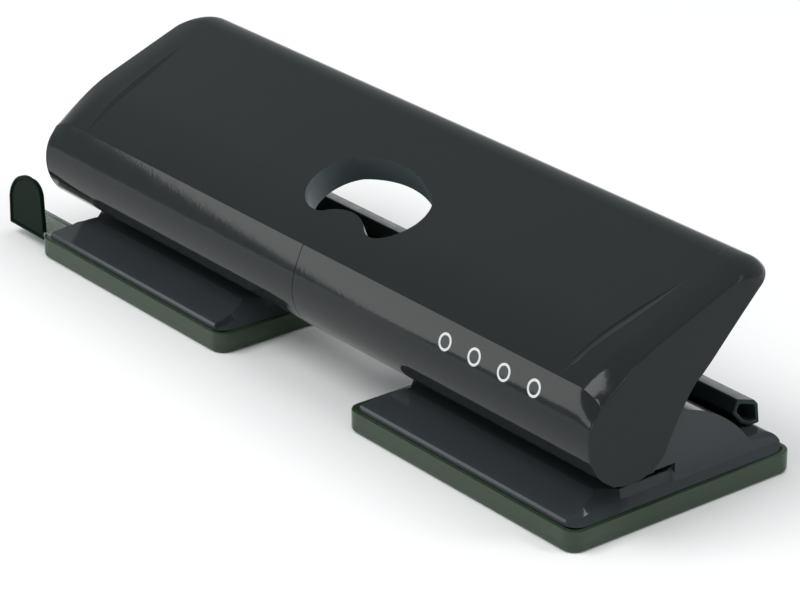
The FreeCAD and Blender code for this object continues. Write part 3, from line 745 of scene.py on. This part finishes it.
def hump(centre, inset):
    """The hump behind the slot, drawn in by an inset."""
    low = -inset
    front = HILL_Y + inset
    top = HILL_TOP + low
    points = [(front, LEDGE - COVER_WALL)]
    points += arc_through((front, 26.6 + low), (HILL_Y + 0.5 + inset, 27.7 + low),
                          (HILL_Y + 1.6 + inset, top))
    points += arc_through((HILL_CREST_Y, top), (56.8 - inset / 2, 22.4 + low),
                          (66.0 - inset, 14.2))
    points += [(69.5 - inset, LEDGE - COVER_WALL)]
    half = HILL_HALF - inset
    return sweep("hump", points, (centre - half, centre + half))


def wings(centre):
    """Two thin cheeks in front of the hump."""
    points = [(WING_Y, SLOT_TOP + LIP)]
    points += arc_through((WING_Y, 24.6), (WING_Y + 1.1, 27.3), (WING_Y + 3.8, HILL_TOP))
    points += [(HILL_CREST_Y, HILL_TOP), (HILL_CREST_Y, SLOT_TOP + LIP)]
    outer = sweep("wings", points, (centre - HILL_HALF, centre + HILL_HALF))
    inner = HILL_HALF - COVER_WALL
    return cut(outer, block("gap", (centre - inner, centre + inner), GAP, GAP))


def peg(x, y, radius, z, steps=32):
    """Upright round peg, used to cut holes."""
    circle = [polar((x, y), radius, math.radians(360 * i / steps)) for i in range(steps)]
    return upright("peg", circle, z)


# %% Making the covers
PIN_X = 40.0                  # the filing standard: 80 mm between two holes
PIN_Y = STOP_Y - 12.0         # and 12 mm from the edge of the paper
PIN_R = 2.75
PEG_TOP = 20.0
HILL_FOOT = 20.0              # only the outside of hump and wings is above this


def cover_share(middle):
    """The outside top of a cover has softer edges than the cut-outs."""
    x = abs(middle.x - MIDDLE_X) / MM
    y = (middle.y - FRONT_Y) / MM
    z = middle.z / MM
    at_skirt = z < LEDGE - 1.3 and abs(x - UNIT_X) > DIE_HALF + 0.9
    outside = y < DIE_Y[0] - 1 or y > DIE_Y[1] or z > HILL_FOOT or at_skirt
    return 1.0 if outside else 0.3


def make_base_cover(side, name):
    """Shell, hump and wings, with room for the die plate, the frame and the pins."""
    centre = side * UNIT_X
    inner = HILL_HALF - COVER_WALL
    bed_z = SLOT_FLOOR - DIE_THICK
    cover = join(cover_body(centre, 0), hump(centre, 0))
    cut(cover, cover_body(centre, COVER_WALL), hump(centre, COVER_WALL))
    join(cover, wings(centre))
    bed = block("bed", (centre - DIE_HALF, centre + DIE_HALF), (DIE_Y[0] - 2, DIE_Y[1] + 1),
                (bed_z - COVER_WALL, bed_z - LIP / 10))
    join(cover, bed)
    half = DIE_HALF + LIP
    die_room = block("room", (centre - half, centre + half),
                     (DIE_Y[0] - LIP, STOP_Y + STEP_LEAN + LIP), (bed_z, ROOM_TOP))
    frame_room = block("room", (centre - inner, centre + inner), (STOP_Y, DIE_Y[1] + LIP),
                       (bed_z, SLOT_TOP + LIP))
    web_room = block("room", (centre - inner, centre + inner), (STOP_Y, HILL_Y),
                     (bed_z, ROOM_TOP))
    pegs = [peg(centre + x, PIN_Y, PIN_R + 1, (0, PEG_TOP)) for x in (-PIN_X, PIN_X)]
    cut(cover, die_room, frame_room, web_room, *pegs)
    cover.name = "base_cover_" + name + "_moulded"
    round_edges(cover, width=0.8, share=cover_share)
    return smooth(cover)


covers = {name: make_base_cover(side, name) for name, side in SIDES.items()}

# %% [markdown]
# ## Chip trays
# A tray is a shallow smoked dish.  Stacked rounded rectangles give it a
# chamfered foot, upright walls and a soft rim in one clean skin.  The left tray
# has a notch where the paper guide passes.

# %% Trays
TRAY_CORNER = 4.5
TRAY_WALL = 1.6
TRAY_FLOOR = 1.4
RIM = (0.13, 0.45)            # a soft rim is rounded in two small steps
FOOT_R = 4.0
FOOT_INSET = 9.0
FOOT_RECESS = (-1.0, 1.0)
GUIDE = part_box("paper_guide")
GUIDE_Y = ((GUIDE[0].y - FRONT_Y) / MM, (GUIDE[1].y - FRONT_Y) / MM)
GUIDE_TOP = 6.2
GUIDE_THICK = 1.5
LOOSE = 0.3


def make_tray(side, name):
    """A dish of stacked rings, with recesses for its four feet."""
    centre = side * UNIT_X
    half = TRAY_WIDTH / 2
    floor = TRAY_LOW + TRAY_FLOOR
    steps = [
        # outer wall, from the foot to the rim
        (0.6, TRAY_LOW), (0.2, TRAY_LOW + 0.2), (0.0, TRAY_LOW + 0.7),
        (0.0, TRAY_TOP - RIM[1]), (RIM[0], TRAY_TOP - RIM[0]), (RIM[1], TRAY_TOP),
        # inner wall, from the rim down to the floor
        (TRAY_WALL - RIM[1], TRAY_TOP), (TRAY_WALL - RIM[0], TRAY_TOP - RIM[0]),
        (TRAY_WALL, TRAY_TOP - RIM[1]), (TRAY_WALL, floor + 0.6),
        (TRAY_WALL + 0.2, floor + 0.2), (TRAY_WALL + 0.6, floor),
    ]
    rings = []
    for inset, z in steps:
        outline = rounded_rectangle((centre - half + inset, centre + half - inset),
                                    (inset, TRAY_DEPTH - inset), TRAY_CORNER - inset)
        rings.append([place(x, y, z) for x, y in outline])
    tray = make_piece("chip_tray_" + name + "_smoked", rings)
    tools = []
    for x in (-1, 1):
        for y in (FOOT_INSET, TRAY_DEPTH - FOOT_INSET):
            tools.append(peg(centre + x * (half - FOOT_INSET), y, FOOT_R, FOOT_RECESS))
    if side < 0:
        tools.append(block("notch", (centre - half - 1, centre - half + TRAY_CORNER),
                           (GUIDE_Y[0] - LOOSE, GUIDE_Y[1] + LOOSE),
                           (GUIDE_TOP - GUIDE_THICK - LOOSE, TRAY_TOP + 1)))
    cut(tray, *tools)
    return smooth(tray)


trays = {name: make_tray(side, name) for name, side in SIDES.items()}

# %% [markdown]
# ## Rear rail
# One long hollow rail ties the two bases together.  It is an open ended
# extrusion, so its section shows at both ends.  The outer outline is pulled
# sideways, and a core drawn in evenly by the wall is cut out of it.

# %% Rail
RAIL_HALF = 119.0
RAIL_OUTER = [(66.8, 17.6), (68.5, 21.6), (75.2, 19.4), (76.6, 18.0), (77.3, 11.9),
              (73.4, 11.9), (70.3, 13.6)]
RAIL_WALL = 1.4


def inset_outline(points, distance):
    """Move every side of a convex outline inwards by the same distance."""
    middle = [sum(p[i] for p in points) / len(points) for i in (0, 1)]
    moved = []
    count = len(points)
    for i in range(count):
        lines = []
        for a, b in ((points[i - 1], points[i]), (points[i], points[(i + 1) % count])):
            ny, nz = -(b[1] - a[1]), b[0] - a[0]
            length = math.hypot(ny, nz)
            ny, nz = ny / length, nz / length
            if (middle[0] - a[0]) * ny + (middle[1] - a[1]) * nz < 0:
                ny, nz = -ny, -nz
            lines.append((ny, nz, ny * a[0] + nz * a[1] + distance))
        (a1, b1, c1), (a2, b2, c2) = lines
        det = a1 * b2 - a2 * b1
        moved.append(((c1 * b2 - c2 * b1) / det, (a1 * c2 - a2 * c1) / det))
    return moved


rail = sweep("connecting_rail_moulded", RAIL_OUTER, (-RAIL_HALF, RAIL_HALF))
core = sweep("core", inset_outline(RAIL_OUTER, RAIL_WALL), (-RAIL_HALF - 1, RAIL_HALF + 1))
cut(rail, core)
round_edges(rail, width=0.45)
smooth(rail)

# %% [markdown]
# ## Paper guide
# The guide is a thin strip that slides out of the left tray, with an upright
# paddle on its end that the paper's edge rests against.  The strip is pale
# see-through green with raised edges and printed ticks.  The paddle is dark
# green with a raised rim, so it is made from rings that step in and out.

# %% Strip and paddle
PADDLE_X = (-150.6, -130.6)
PADDLE_Z = (3.4, 22.4)
PADDLE_THICK = 1.6
GUIDE_INNER_X = -36.0
STRIP_RIB = 1.1
STRIP_STEP = 0.6
STRIP_LOW = GUIDE_TOP - GUIDE_THICK
STRIP_FACE = GUIDE_TOP - STRIP_STEP
STRIP_INSIDE = (GUIDE_Y[0] + STRIP_RIB, GUIDE_Y[1] - STRIP_RIB)
strip_section = [
    (GUIDE_Y[0], STRIP_LOW), (GUIDE_Y[1], STRIP_LOW), (GUIDE_Y[1], GUIDE_TOP),
    (STRIP_INSIDE[1], GUIDE_TOP), (STRIP_INSIDE[1], STRIP_FACE),
    (STRIP_INSIDE[0], STRIP_FACE), (STRIP_INSIDE[0], GUIDE_TOP), (GUIDE_Y[0], GUIDE_TOP)]
strip = sweep("guide_strip", strip_section, (PADDLE_X[0] + 1, GUIDE_INNER_X))
paddle_room = block("room", (PADDLE_X[0], PADDLE_X[1] + 0.1),
                    (0, GUIDE_Y[0] + PADDLE_THICK - 0.2), (0, 10))
cut(strip, paddle_room)
round_edges(strip, width=0.18)
smooth(strip)


def paddle_outline(inset):
    """Rounded top, highest towards the tray, drawn in evenly by an amount."""
    peak = (-137.1, PADDLE_Z[1])
    points = [(PADDLE_X[0], PADDLE_Z[0])]
    points += arc_through((-150.3, 12.9), (-146.4, 19.7), peak)
    points += arc_through(peak, (-132.8, 21.0), (-131.3, 16.9))[1:]
    points.append((PADDLE_X[1], PADDLE_Z[0]))
    middle = (sum(PADDLE_X) / 2, sum(PADDLE_Z) / 2)
    narrow = 1 - 2 * inset / (PADDLE_X[1] - PADDLE_X[0])
    lower = 1 - 2 * inset / (PADDLE_Z[1] - PADDLE_Z[0])
    return [(middle[0] + (x - middle[0]) * narrow, middle[1] + (z - middle[1]) * lower)
            for x, z in points]


PADDLE_EDGE = 0.3             # rounding of the edge
PADDLE_RIM = 0.9              # width of the raised rim
PADDLE_FIELD = (1.1, 0.45)    # where the sunk face starts, and how deep it lies
front = GUIDE_Y[0]
back = GUIDE_Y[0] + PADDLE_THICK
paddle_rings = []
for inset, y in ((PADDLE_FIELD[0], back - PADDLE_FIELD[1]), (PADDLE_RIM, back),
                 (PADDLE_EDGE, back), (0.0, back - PADDLE_EDGE), (0.0, front + PADDLE_EDGE),
                 (PADDLE_EDGE, front), (PADDLE_RIM, front),
                 (PADDLE_FIELD[0], front + PADDLE_FIELD[1])):
    paddle_rings.append([place(x, y, z) for x, z in paddle_outline(inset)])
paddle = smooth(make_piece("guide_paddle", paddle_rings))

# %% Printed ticks on the strip
TICK_COUNT = 14
TICK_FROM = -129.0
TICK_PITCH = 5.0
TICK_WIDTH = 0.35
TICK_LENGTHS = (5.6, 3.6)     # long and short take turns
TICK_INK = 0.02
tick_back = STRIP_INSIDE[1] - 0.3
ticks = []
for number in range(TICK_COUNT):
    x = TICK_FROM + number * TICK_PITCH
    length = TICK_LENGTHS[number % 2]
    ticks.append(block("tick", (x, x + TICK_WIDTH), (tick_back - length, tick_back),
                       (STRIP_FACE - TICK_INK, STRIP_FACE + TICK_INK)))
guide_ticks = join(ticks[0], *ticks[1:])
guide_ticks.name = "guide_ticks"
print(TICK_COUNT, "ticks on the guide")

# %% [markdown]
# ## Return springs
# Each pin has a compression spring.  A coil is a circle carried round a helix;
# the end turns lie flat, as on a real ground spring.

# %% Springs
SPRING_R = 3.4
WIRE_R = 0.25
SPRING_TURNS = 5.0
TURN_STEPS = 28
WIRE_SIDES = 8
SPRING_ENDS = (0.12, 0.88)    # below and above these shares the coil lies flat
SPRING_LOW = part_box("pin_spring_1")[0].z / MM
SPRING_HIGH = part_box("pin_spring_1")[1].z / MM


def make_spring(x, name):
    """A round wire carried round a helix about a pin."""
    rings = []
    steps = int(SPRING_TURNS * TURN_STEPS)
    low = SPRING_LOW + WIRE_R
    high = SPRING_HIGH - WIRE_R
    for i in range(steps + 1):
        t = i / steps
        turn = 2 * math.pi * SPRING_TURNS * t
        z = low + (high - low) * ramp(*SPRING_ENDS, t)
        ring = []
        for k in range(WIRE_SIDES):
            a = 2 * math.pi * k / WIRE_SIDES
            r = SPRING_R + WIRE_R * math.cos(a)
            ring.append(place(x + r * math.cos(turn), PIN_Y + r * math.sin(turn),
                              z + WIRE_R * math.sin(a)))
        rings.append(ring)
    return smooth(make_piece(name, rings))


pin_places = [-UNIT_X - PIN_X, -UNIT_X + PIN_X, UNIT_X - PIN_X, UNIT_X + PIN_X]
springs = [make_spring(x, f"spring_coil_{i}") for i, x in enumerate(pin_places, start=1)]

# %% [markdown]
# ## Four rings printed on the barrel
# The right half of the barrel carries a plain printed mark: four small rings in
# a row, one for each hole.  Each is a thin band lying on the curved flank.

# %% Printed rings
MARK_FROM = 68.0
MARK_UP = 3.4                 # height of the middle, measured along the flank
MARK_PITCH = 12.5
MARK_R = 2.6
MARK_BAND = 0.75
MARK_PROUD = 0.03
MARK_INK = 0.02
MARK_STEPS = 40


def flank_point(x, up):
    """Point just proud of the flank, at a height measured along its curve."""
    angle = angle_of(FLANK, FLANK_START) - up / FLANK_R
    y, z = polar(FLANK, FLANK_R + MARK_PROUD, angle)
    return place(*shape_end(x, y, z))


def make_mark(x, up, name):
    """A flat ring bent over the flank and given the thickness of ink."""
    mesh = bpy.data.meshes.new(name)
    bm = bmesh.new()
    inner = []
    outer = []
    for i in range(MARK_STEPS):
        a = 2 * math.pi * i / MARK_STEPS
        for radius, row in ((MARK_R - MARK_BAND, inner), (MARK_R, outer)):
            point = flank_point(x + radius * math.cos(a), up + radius * math.sin(a))
            row.append(bm.verts.new(point))
    for i in range(MARK_STEPS):
        j = (i + 1) % MARK_STEPS
        bm.faces.new((inner[i], inner[j], outer[j], outer[i]))
    bmesh.ops.recalc_face_normals(bm, faces=bm.faces)
    bm.to_mesh(mesh)
    bm.free()
    piece = bpy.data.objects.new(name, mesh)
    bpy.context.scene.collection.objects.link(piece)
    solid = piece.modifiers.new("thick", "SOLIDIFY")
    solid.thickness = MARK_INK * MM
    solid.offset = 0
    apply_modifiers(piece)
    return smooth(piece)


marks = [make_mark(MARK_FROM + i * MARK_PITCH, MARK_UP, f"hole_mark_{i + 1}")
         for i in range(len(pin_places))]

# %% [markdown]
# ## Finishes
# All finishes are node materials.  The plastics share one recipe: a base
# colour that drifts very slightly, roughness broken up by a soft mottle, and a
# fine orange peel bump.  Steel has brushed streaks or a zinc spangle.  Amounts
# are small, since a new punch is clean; without them the gloss looks false.

# %% Node helpers
def new_material(name):
    """A material, its node tree, its shader and the piece's own coordinates."""
    material = bpy.data.materials.new(name)
    material.use_nodes = True
    tree = material.node_tree
    shader = tree.nodes["Principled BSDF"]
    where = tree.nodes.new("ShaderNodeTexCoord").outputs["Object"]
    return material, tree, shader, where


def noise(tree, where, scale, detail=2.0, stretch=None):
    """Soft noise fixed to the piece, stretched along an axis if asked."""
    if stretch:
        mapping = tree.nodes.new("ShaderNodeMapping")
        mapping.inputs["Scale"].default_value = stretch
        tree.links.new(where, mapping.inputs["Vector"])
        where = mapping.outputs["Vector"]
    node = tree.nodes.new("ShaderNodeTexNoise")
    node.inputs["Scale"].default_value = scale
    node.inputs["Detail"].default_value = detail
    tree.links.new(where, node.inputs["Vector"])
    return node.outputs["Fac"]


def spread(tree, value, low, high):
    """Spread the middle of a noise over a range of values."""
    node = tree.nodes.new("ShaderNodeMapRange")
    node.inputs["From Min"].default_value = 0.3
    node.inputs["From Max"].default_value = 0.7
    node.inputs["To Min"].default_value = low
    node.inputs["To Max"].default_value = high
    tree.links.new(value, node.inputs["Value"])
    return node.outputs["Result"]


def tint(tree, value, dark, light):
    """Drift between two colours."""
    node = tree.nodes.new("ShaderNodeMix")
    node.data_type = "RGBA"
    node.inputs["A"].default_value = (*dark, 1)
    node.inputs["B"].default_value = (*light, 1)
    tree.links.new(value, node.inputs["Factor"])
    return node.outputs["Result"]


def bump(tree, shader, value, strength, distance):
    node = tree.nodes.new("ShaderNodeBump")
    node.inputs["Strength"].default_value = strength
    node.inputs["Distance"].default_value = distance
    tree.links.new(value, node.inputs["Height"])
    tree.links.new(node.outputs["Normal"], shader.inputs["Normal"])


# %% Plastics
def plastic(name, dark, light, rough, grain=900.0, peel=0.05, gloss=0.3, clear=0.0):
    """Moulded plastic: two close colours, a range of roughness, and a fine peel."""
    material, tree, shader, where = new_material(name)
    shader.inputs["IOR"].default_value = 1.5
    shader.inputs["Specular IOR Level"].default_value = gloss
    shader.inputs["Transmission Weight"].default_value = clear
    drift = noise(tree, where, 40.0)
    tree.links.new(tint(tree, drift, dark, light), shader.inputs["Base Color"])
    mottle = noise(tree, where, 260.0, 4.0)
    tree.links.new(spread(tree, mottle, rough[0], rough[1]), shader.inputs["Roughness"])
    bump(tree, shader, noise(tree, where, grain), peel, 0.0002)
    return material


black_gloss = plastic(
    "black_gloss", (0.0118, 0.0148, 0.0152), (0.0138, 0.0170, 0.0175), (0.06, 0.10),
    gloss=0.22)
# Lighter copy of the black plastic for the wall of the hand opening: painted light, standing in
# for the sheen of light falling into the opening.
well_painted_sheen = plastic(
    "well_painted_sheen", (0.075, 0.092, 0.098), (0.085, 0.104, 0.110), (0.30, 0.40), gloss=0.2)
black_cap = plastic(
    "black_cap", (0.0150, 0.0185, 0.0190), (0.0170, 0.0205, 0.0215), (0.16, 0.22),
    gloss=0.14)
# The covers' black, lifted well above the handle's: partly the cover's own tone, partly painted
# reflection standing in for the light seen on the ramps under the barrel.
base_black_with_painted_sheen = plastic(
    "base_black_with_painted_sheen", (0.0350, 0.0410, 0.0440), (0.0400, 0.0465, 0.0500), (0.10, 0.15),
    gloss=0.2)
rail_black = plastic(
    "rail_black", (0.0200, 0.0290, 0.0280), (0.0240, 0.0340, 0.0325), (0.20, 0.28),
    gloss=0.1)
smoked = plastic(
    "smoked_clear", (0.045, 0.092, 0.048), (0.062, 0.114, 0.064), (0.16, 0.24),
    grain=500.0, peel=0.1, gloss=0.3, clear=0.62)
guide_dark = plastic(
    "guide_dark", (0.003, 0.010, 0.005), (0.005, 0.014, 0.008), (0.18, 0.26),
    grain=700.0, peel=0.08, gloss=0.03)
guide_clear = plastic(
    "guide_clear", (0.30, 0.36, 0.31), (0.36, 0.42, 0.37), (0.20, 0.30),
    grain=500.0, peel=0.1, gloss=0.4, clear=0.55)
nylon = plastic(
    "nylon", (0.62, 0.62, 0.58), (0.70, 0.70, 0.66), (0.45, 0.55), grain=1200.0, peel=0.2)
rubber = plastic(
    "rubber", (0.018, 0.018, 0.018), (0.030, 0.030, 0.030), (0.75, 0.90),
    grain=2500.0, peel=0.5)
tick_ink = plastic(
    "tick_ink", (0.010, 0.014, 0.012), (0.016, 0.020, 0.018), (0.5, 0.6))
mark_ink = plastic(
    "mark_ink", (0.60, 0.62, 0.62), (0.70, 0.72, 0.72), (0.35, 0.45))

# %% Metals
def metal(name, dark, light, rough, stretch, scale, strength=0.15):
    """Bare metal whose colour and roughness follow the same streaks."""
    material, tree, shader, where = new_material(name)
    shader.inputs["Metallic"].default_value = 1.0
    streak = noise(tree, where, scale, 3.0, stretch)
    tree.links.new(tint(tree, streak, dark, light), shader.inputs["Base Color"])
    tree.links.new(spread(tree, streak, rough[0], rough[1]), shader.inputs["Roughness"])
    bump(tree, shader, streak, strength, 0.0001)
    return material


blackened = metal(
    "blackened_steel", (0.030, 0.033, 0.035), (0.050, 0.054, 0.056), (0.38, 0.50),
    stretch=(1, 1, 1), scale=900.0, strength=0.05)
zinc = metal(
    "zinc_plate", (0.42, 0.43, 0.42), (0.58, 0.59, 0.57), (0.26, 0.40),
    stretch=(1, 1, 1), scale=220.0)
ground = metal(
    "ground_steel", (0.48, 0.48, 0.49), (0.62, 0.62, 0.63), (0.16, 0.28),
    stretch=(1, 1, 12), scale=160.0)
turned = metal(
    "turned_steel", (0.50, 0.50, 0.50), (0.62, 0.61, 0.60), (0.18, 0.30),
    stretch=(30, 1, 1), scale=60.0)
spring_wire = metal(
    "spring_wire", (0.40, 0.40, 0.42), (0.52, 0.52, 0.54), (0.22, 0.34),
    stretch=(1, 1, 1), scale=400.0)

# %% [markdown]
# ## Who rides on what
# Each new piece stands for one or more nodes of the model and rides on the same
# body, so it moves when the model moves.

# %% Putting the new pieces on their bodies
def dress(piece, material, slot, body, *nodes):
    """Give a piece its finish, its body and the nodes it stands for.  The slot is not used."""
    piece.data.materials.clear()
    piece.data.materials.append(material)
    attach(piece, body)
    if nodes:
        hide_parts(*nodes)
    return piece


dress(panel, black_gloss, "black_abs", "handle", "handle_top_shell")
# The second material paints light onto the wall faces of the hand opening.
panel.data.materials.append(well_painted_sheen)
OUT_OF_PANEL = Vector((0, -PANEL_DIR[1], PANEL_DIR[0]))
WALL_TILT = 0.3               # a face more square to the panel than this is wall
inside_well = 0
for face in panel.data.polygons:
    if near_grip(face.center) and abs(face.normal.dot(OUT_OF_PANEL)) < WALL_TILT:
        face.material_index = 1
        inside_well += 1
print(inside_well, "faces line the hand opening")
dress(rail, rail_black, "black_rail", "base", "connecting_rail")
dress(strip, guide_clear, "guide_green", "guide", "paper_guide")
dress(paddle, guide_dark, "guide_green", "guide")
dress(guide_ticks, tick_ink, "guide_green", "guide")
for name in SIDES:
    dress(barrels[name], black_gloss, "black_abs", "handle", "barrel_cover_" + name)
    dress(caps[name], black_cap, "cap_abs", "handle", "end_cap_" + name)
    dress(covers[name], base_black_with_painted_sheen, "black_abs", "base", "base_cover_" + name)
    dress(trays[name], smoked, "smoked_tray", "tray_" + name, "chip_tray_" + name)
for mark in marks:
    dress(mark, mark_ink, "black_abs", "handle")
for number, spring in enumerate(springs, start=1):
    dress(spring, spring_wire, "spring_steel", "base", f"pin_spring_{number}")
    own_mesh(spring)

# %% Finishes for the parts that keep their own shape
KEPT_PARTS = {
    "pivot_rod": turned, "rod_clips": spring_wire, "rail_plugs": nylon, "rail_screws": zinc,
    "frame_screws": zinc, "guide_clip": spring_wire,
}
for name in SIDES:
    KEPT_PARTS["lever_bracket_" + name] = zinc
    KEPT_PARTS["punch_frame_" + name] = blackened
    KEPT_PARTS["die_plate_" + name] = ground
    KEPT_PARTS["tray_feet_" + name] = rubber
for number in range(1, 5):
    KEPT_PARTS[f"punch_pin_{number}"] = ground
    KEPT_PARTS[f"pin_collar_{number}"] = spring_wire
for node, material in KEPT_PARTS.items():
    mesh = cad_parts[node].data
    mesh.materials.clear()
    mesh.materials.append(material)
print(len(KEPT_PARTS), "parts keep their shape and get a finish")

# %% [markdown]
# ## Floor, light and camera
# A pale floor and a soft even sky suit a black gloss object: it is drawn by
# what it mirrors.  Four soft lamps do the rest.  One hangs overhead, and one
# high in front lights the ramps.  A slanted strip low in front draws the bright
# band under the nose, and a small one at the back right picks out the caps.
# The camera looks from the front right with a long lens.

# %% Floor
floor_mesh = bpy.data.meshes.new("floor")
FLOOR_HALF = 6.0              # metres
corners = [(x * FLOOR_HALF, y * FLOOR_HALF, 0) for x, y in ((-1, -1), (1, -1), (1, 1), (-1, 1))]
floor_mesh.from_pydata(corners, [], [(0, 1, 2, 3)])
floor = bpy.data.objects.new("floor", floor_mesh)
bpy.context.scene.collection.objects.link(floor)
floor_paint, _, floor_shader, _ = new_material("pale_floor")
floor_shader.inputs["Roughness"].default_value = 0.8
floor_shader.inputs["Base Color"].default_value = (0.90, 0.90, 0.90, 1)
floor_mesh.materials.append(floor_paint)

# %% Sky and lamps
world = bpy.data.worlds.new("sky")
bpy.context.scene.world = world
world.use_nodes = True
background = world.node_tree.nodes["Background"]
background.inputs["Color"].default_value = (0.95, 0.985, 1.0, 1)
background.inputs["Strength"].default_value = 0.5


def soft_lamp(name, place_at, look_at, size, power, roll=0.0):
    """Rectangular area lamp, in metres and watts, turned about its own axis."""
    lamp = bpy.data.lights.new(name, "AREA")
    lamp.shape = "RECTANGLE"
    lamp.size, lamp.size_y = size
    lamp.energy = power
    item = bpy.data.objects.new(name, lamp)
    item.location = place_at
    look = Vector(look_at) - Vector(place_at)
    item.rotation_euler = look.to_track_quat("-Z", "Y").to_euler()
    item.rotation_euler.rotate_axis("Z", math.radians(roll))
    bpy.context.scene.collection.objects.link(item)


soft_lamp("overhead", (0.5, 0.3, 2.2), (0, 0, 0), size=(1.6, 1.6), power=13.0)
soft_lamp("front_strip", (-1.418, -1.327, 0.630), (0, 0, 0.04),
          size=(1.164, 0.571), power=6.3, roll=-56.0)
soft_lamp("front_top", (-0.40, -1.00, 1.70), (0, 0, 0.04), size=(1.2, 0.9), power=18.0)
soft_lamp("right_side", (1.20, 0.85, 1.30), (0, 0, 0.02), size=(0.5, 0.5), power=7.0)

# %% Camera
CAMERA_AT = (0.7376, -0.5682, 0.4323)
CAMERA_TO = (0.0205, -0.0044, 0.0226)
CAMERA_ROLL = math.radians(-0.22)
FOCAL_LENGTH = 153.95         # on a sensor 36 mm wide
lens = bpy.data.cameras.new("camera")
lens.sensor_width = 36.0
lens.lens = FOCAL_LENGTH
camera = bpy.data.objects.new("camera", lens)
aim = (Vector(CAMERA_TO) - Vector(CAMERA_AT)).to_track_quat("-Z", "Y")
camera.location = CAMERA_AT
camera.rotation_euler = aim.to_euler()
camera.rotation_euler.rotate_axis("Z", CAMERA_ROLL)
bpy.context.scene.collection.objects.link(camera)
bpy.context.scene.camera = camera
bpy.context.scene.view_settings.view_transform = "Standard"
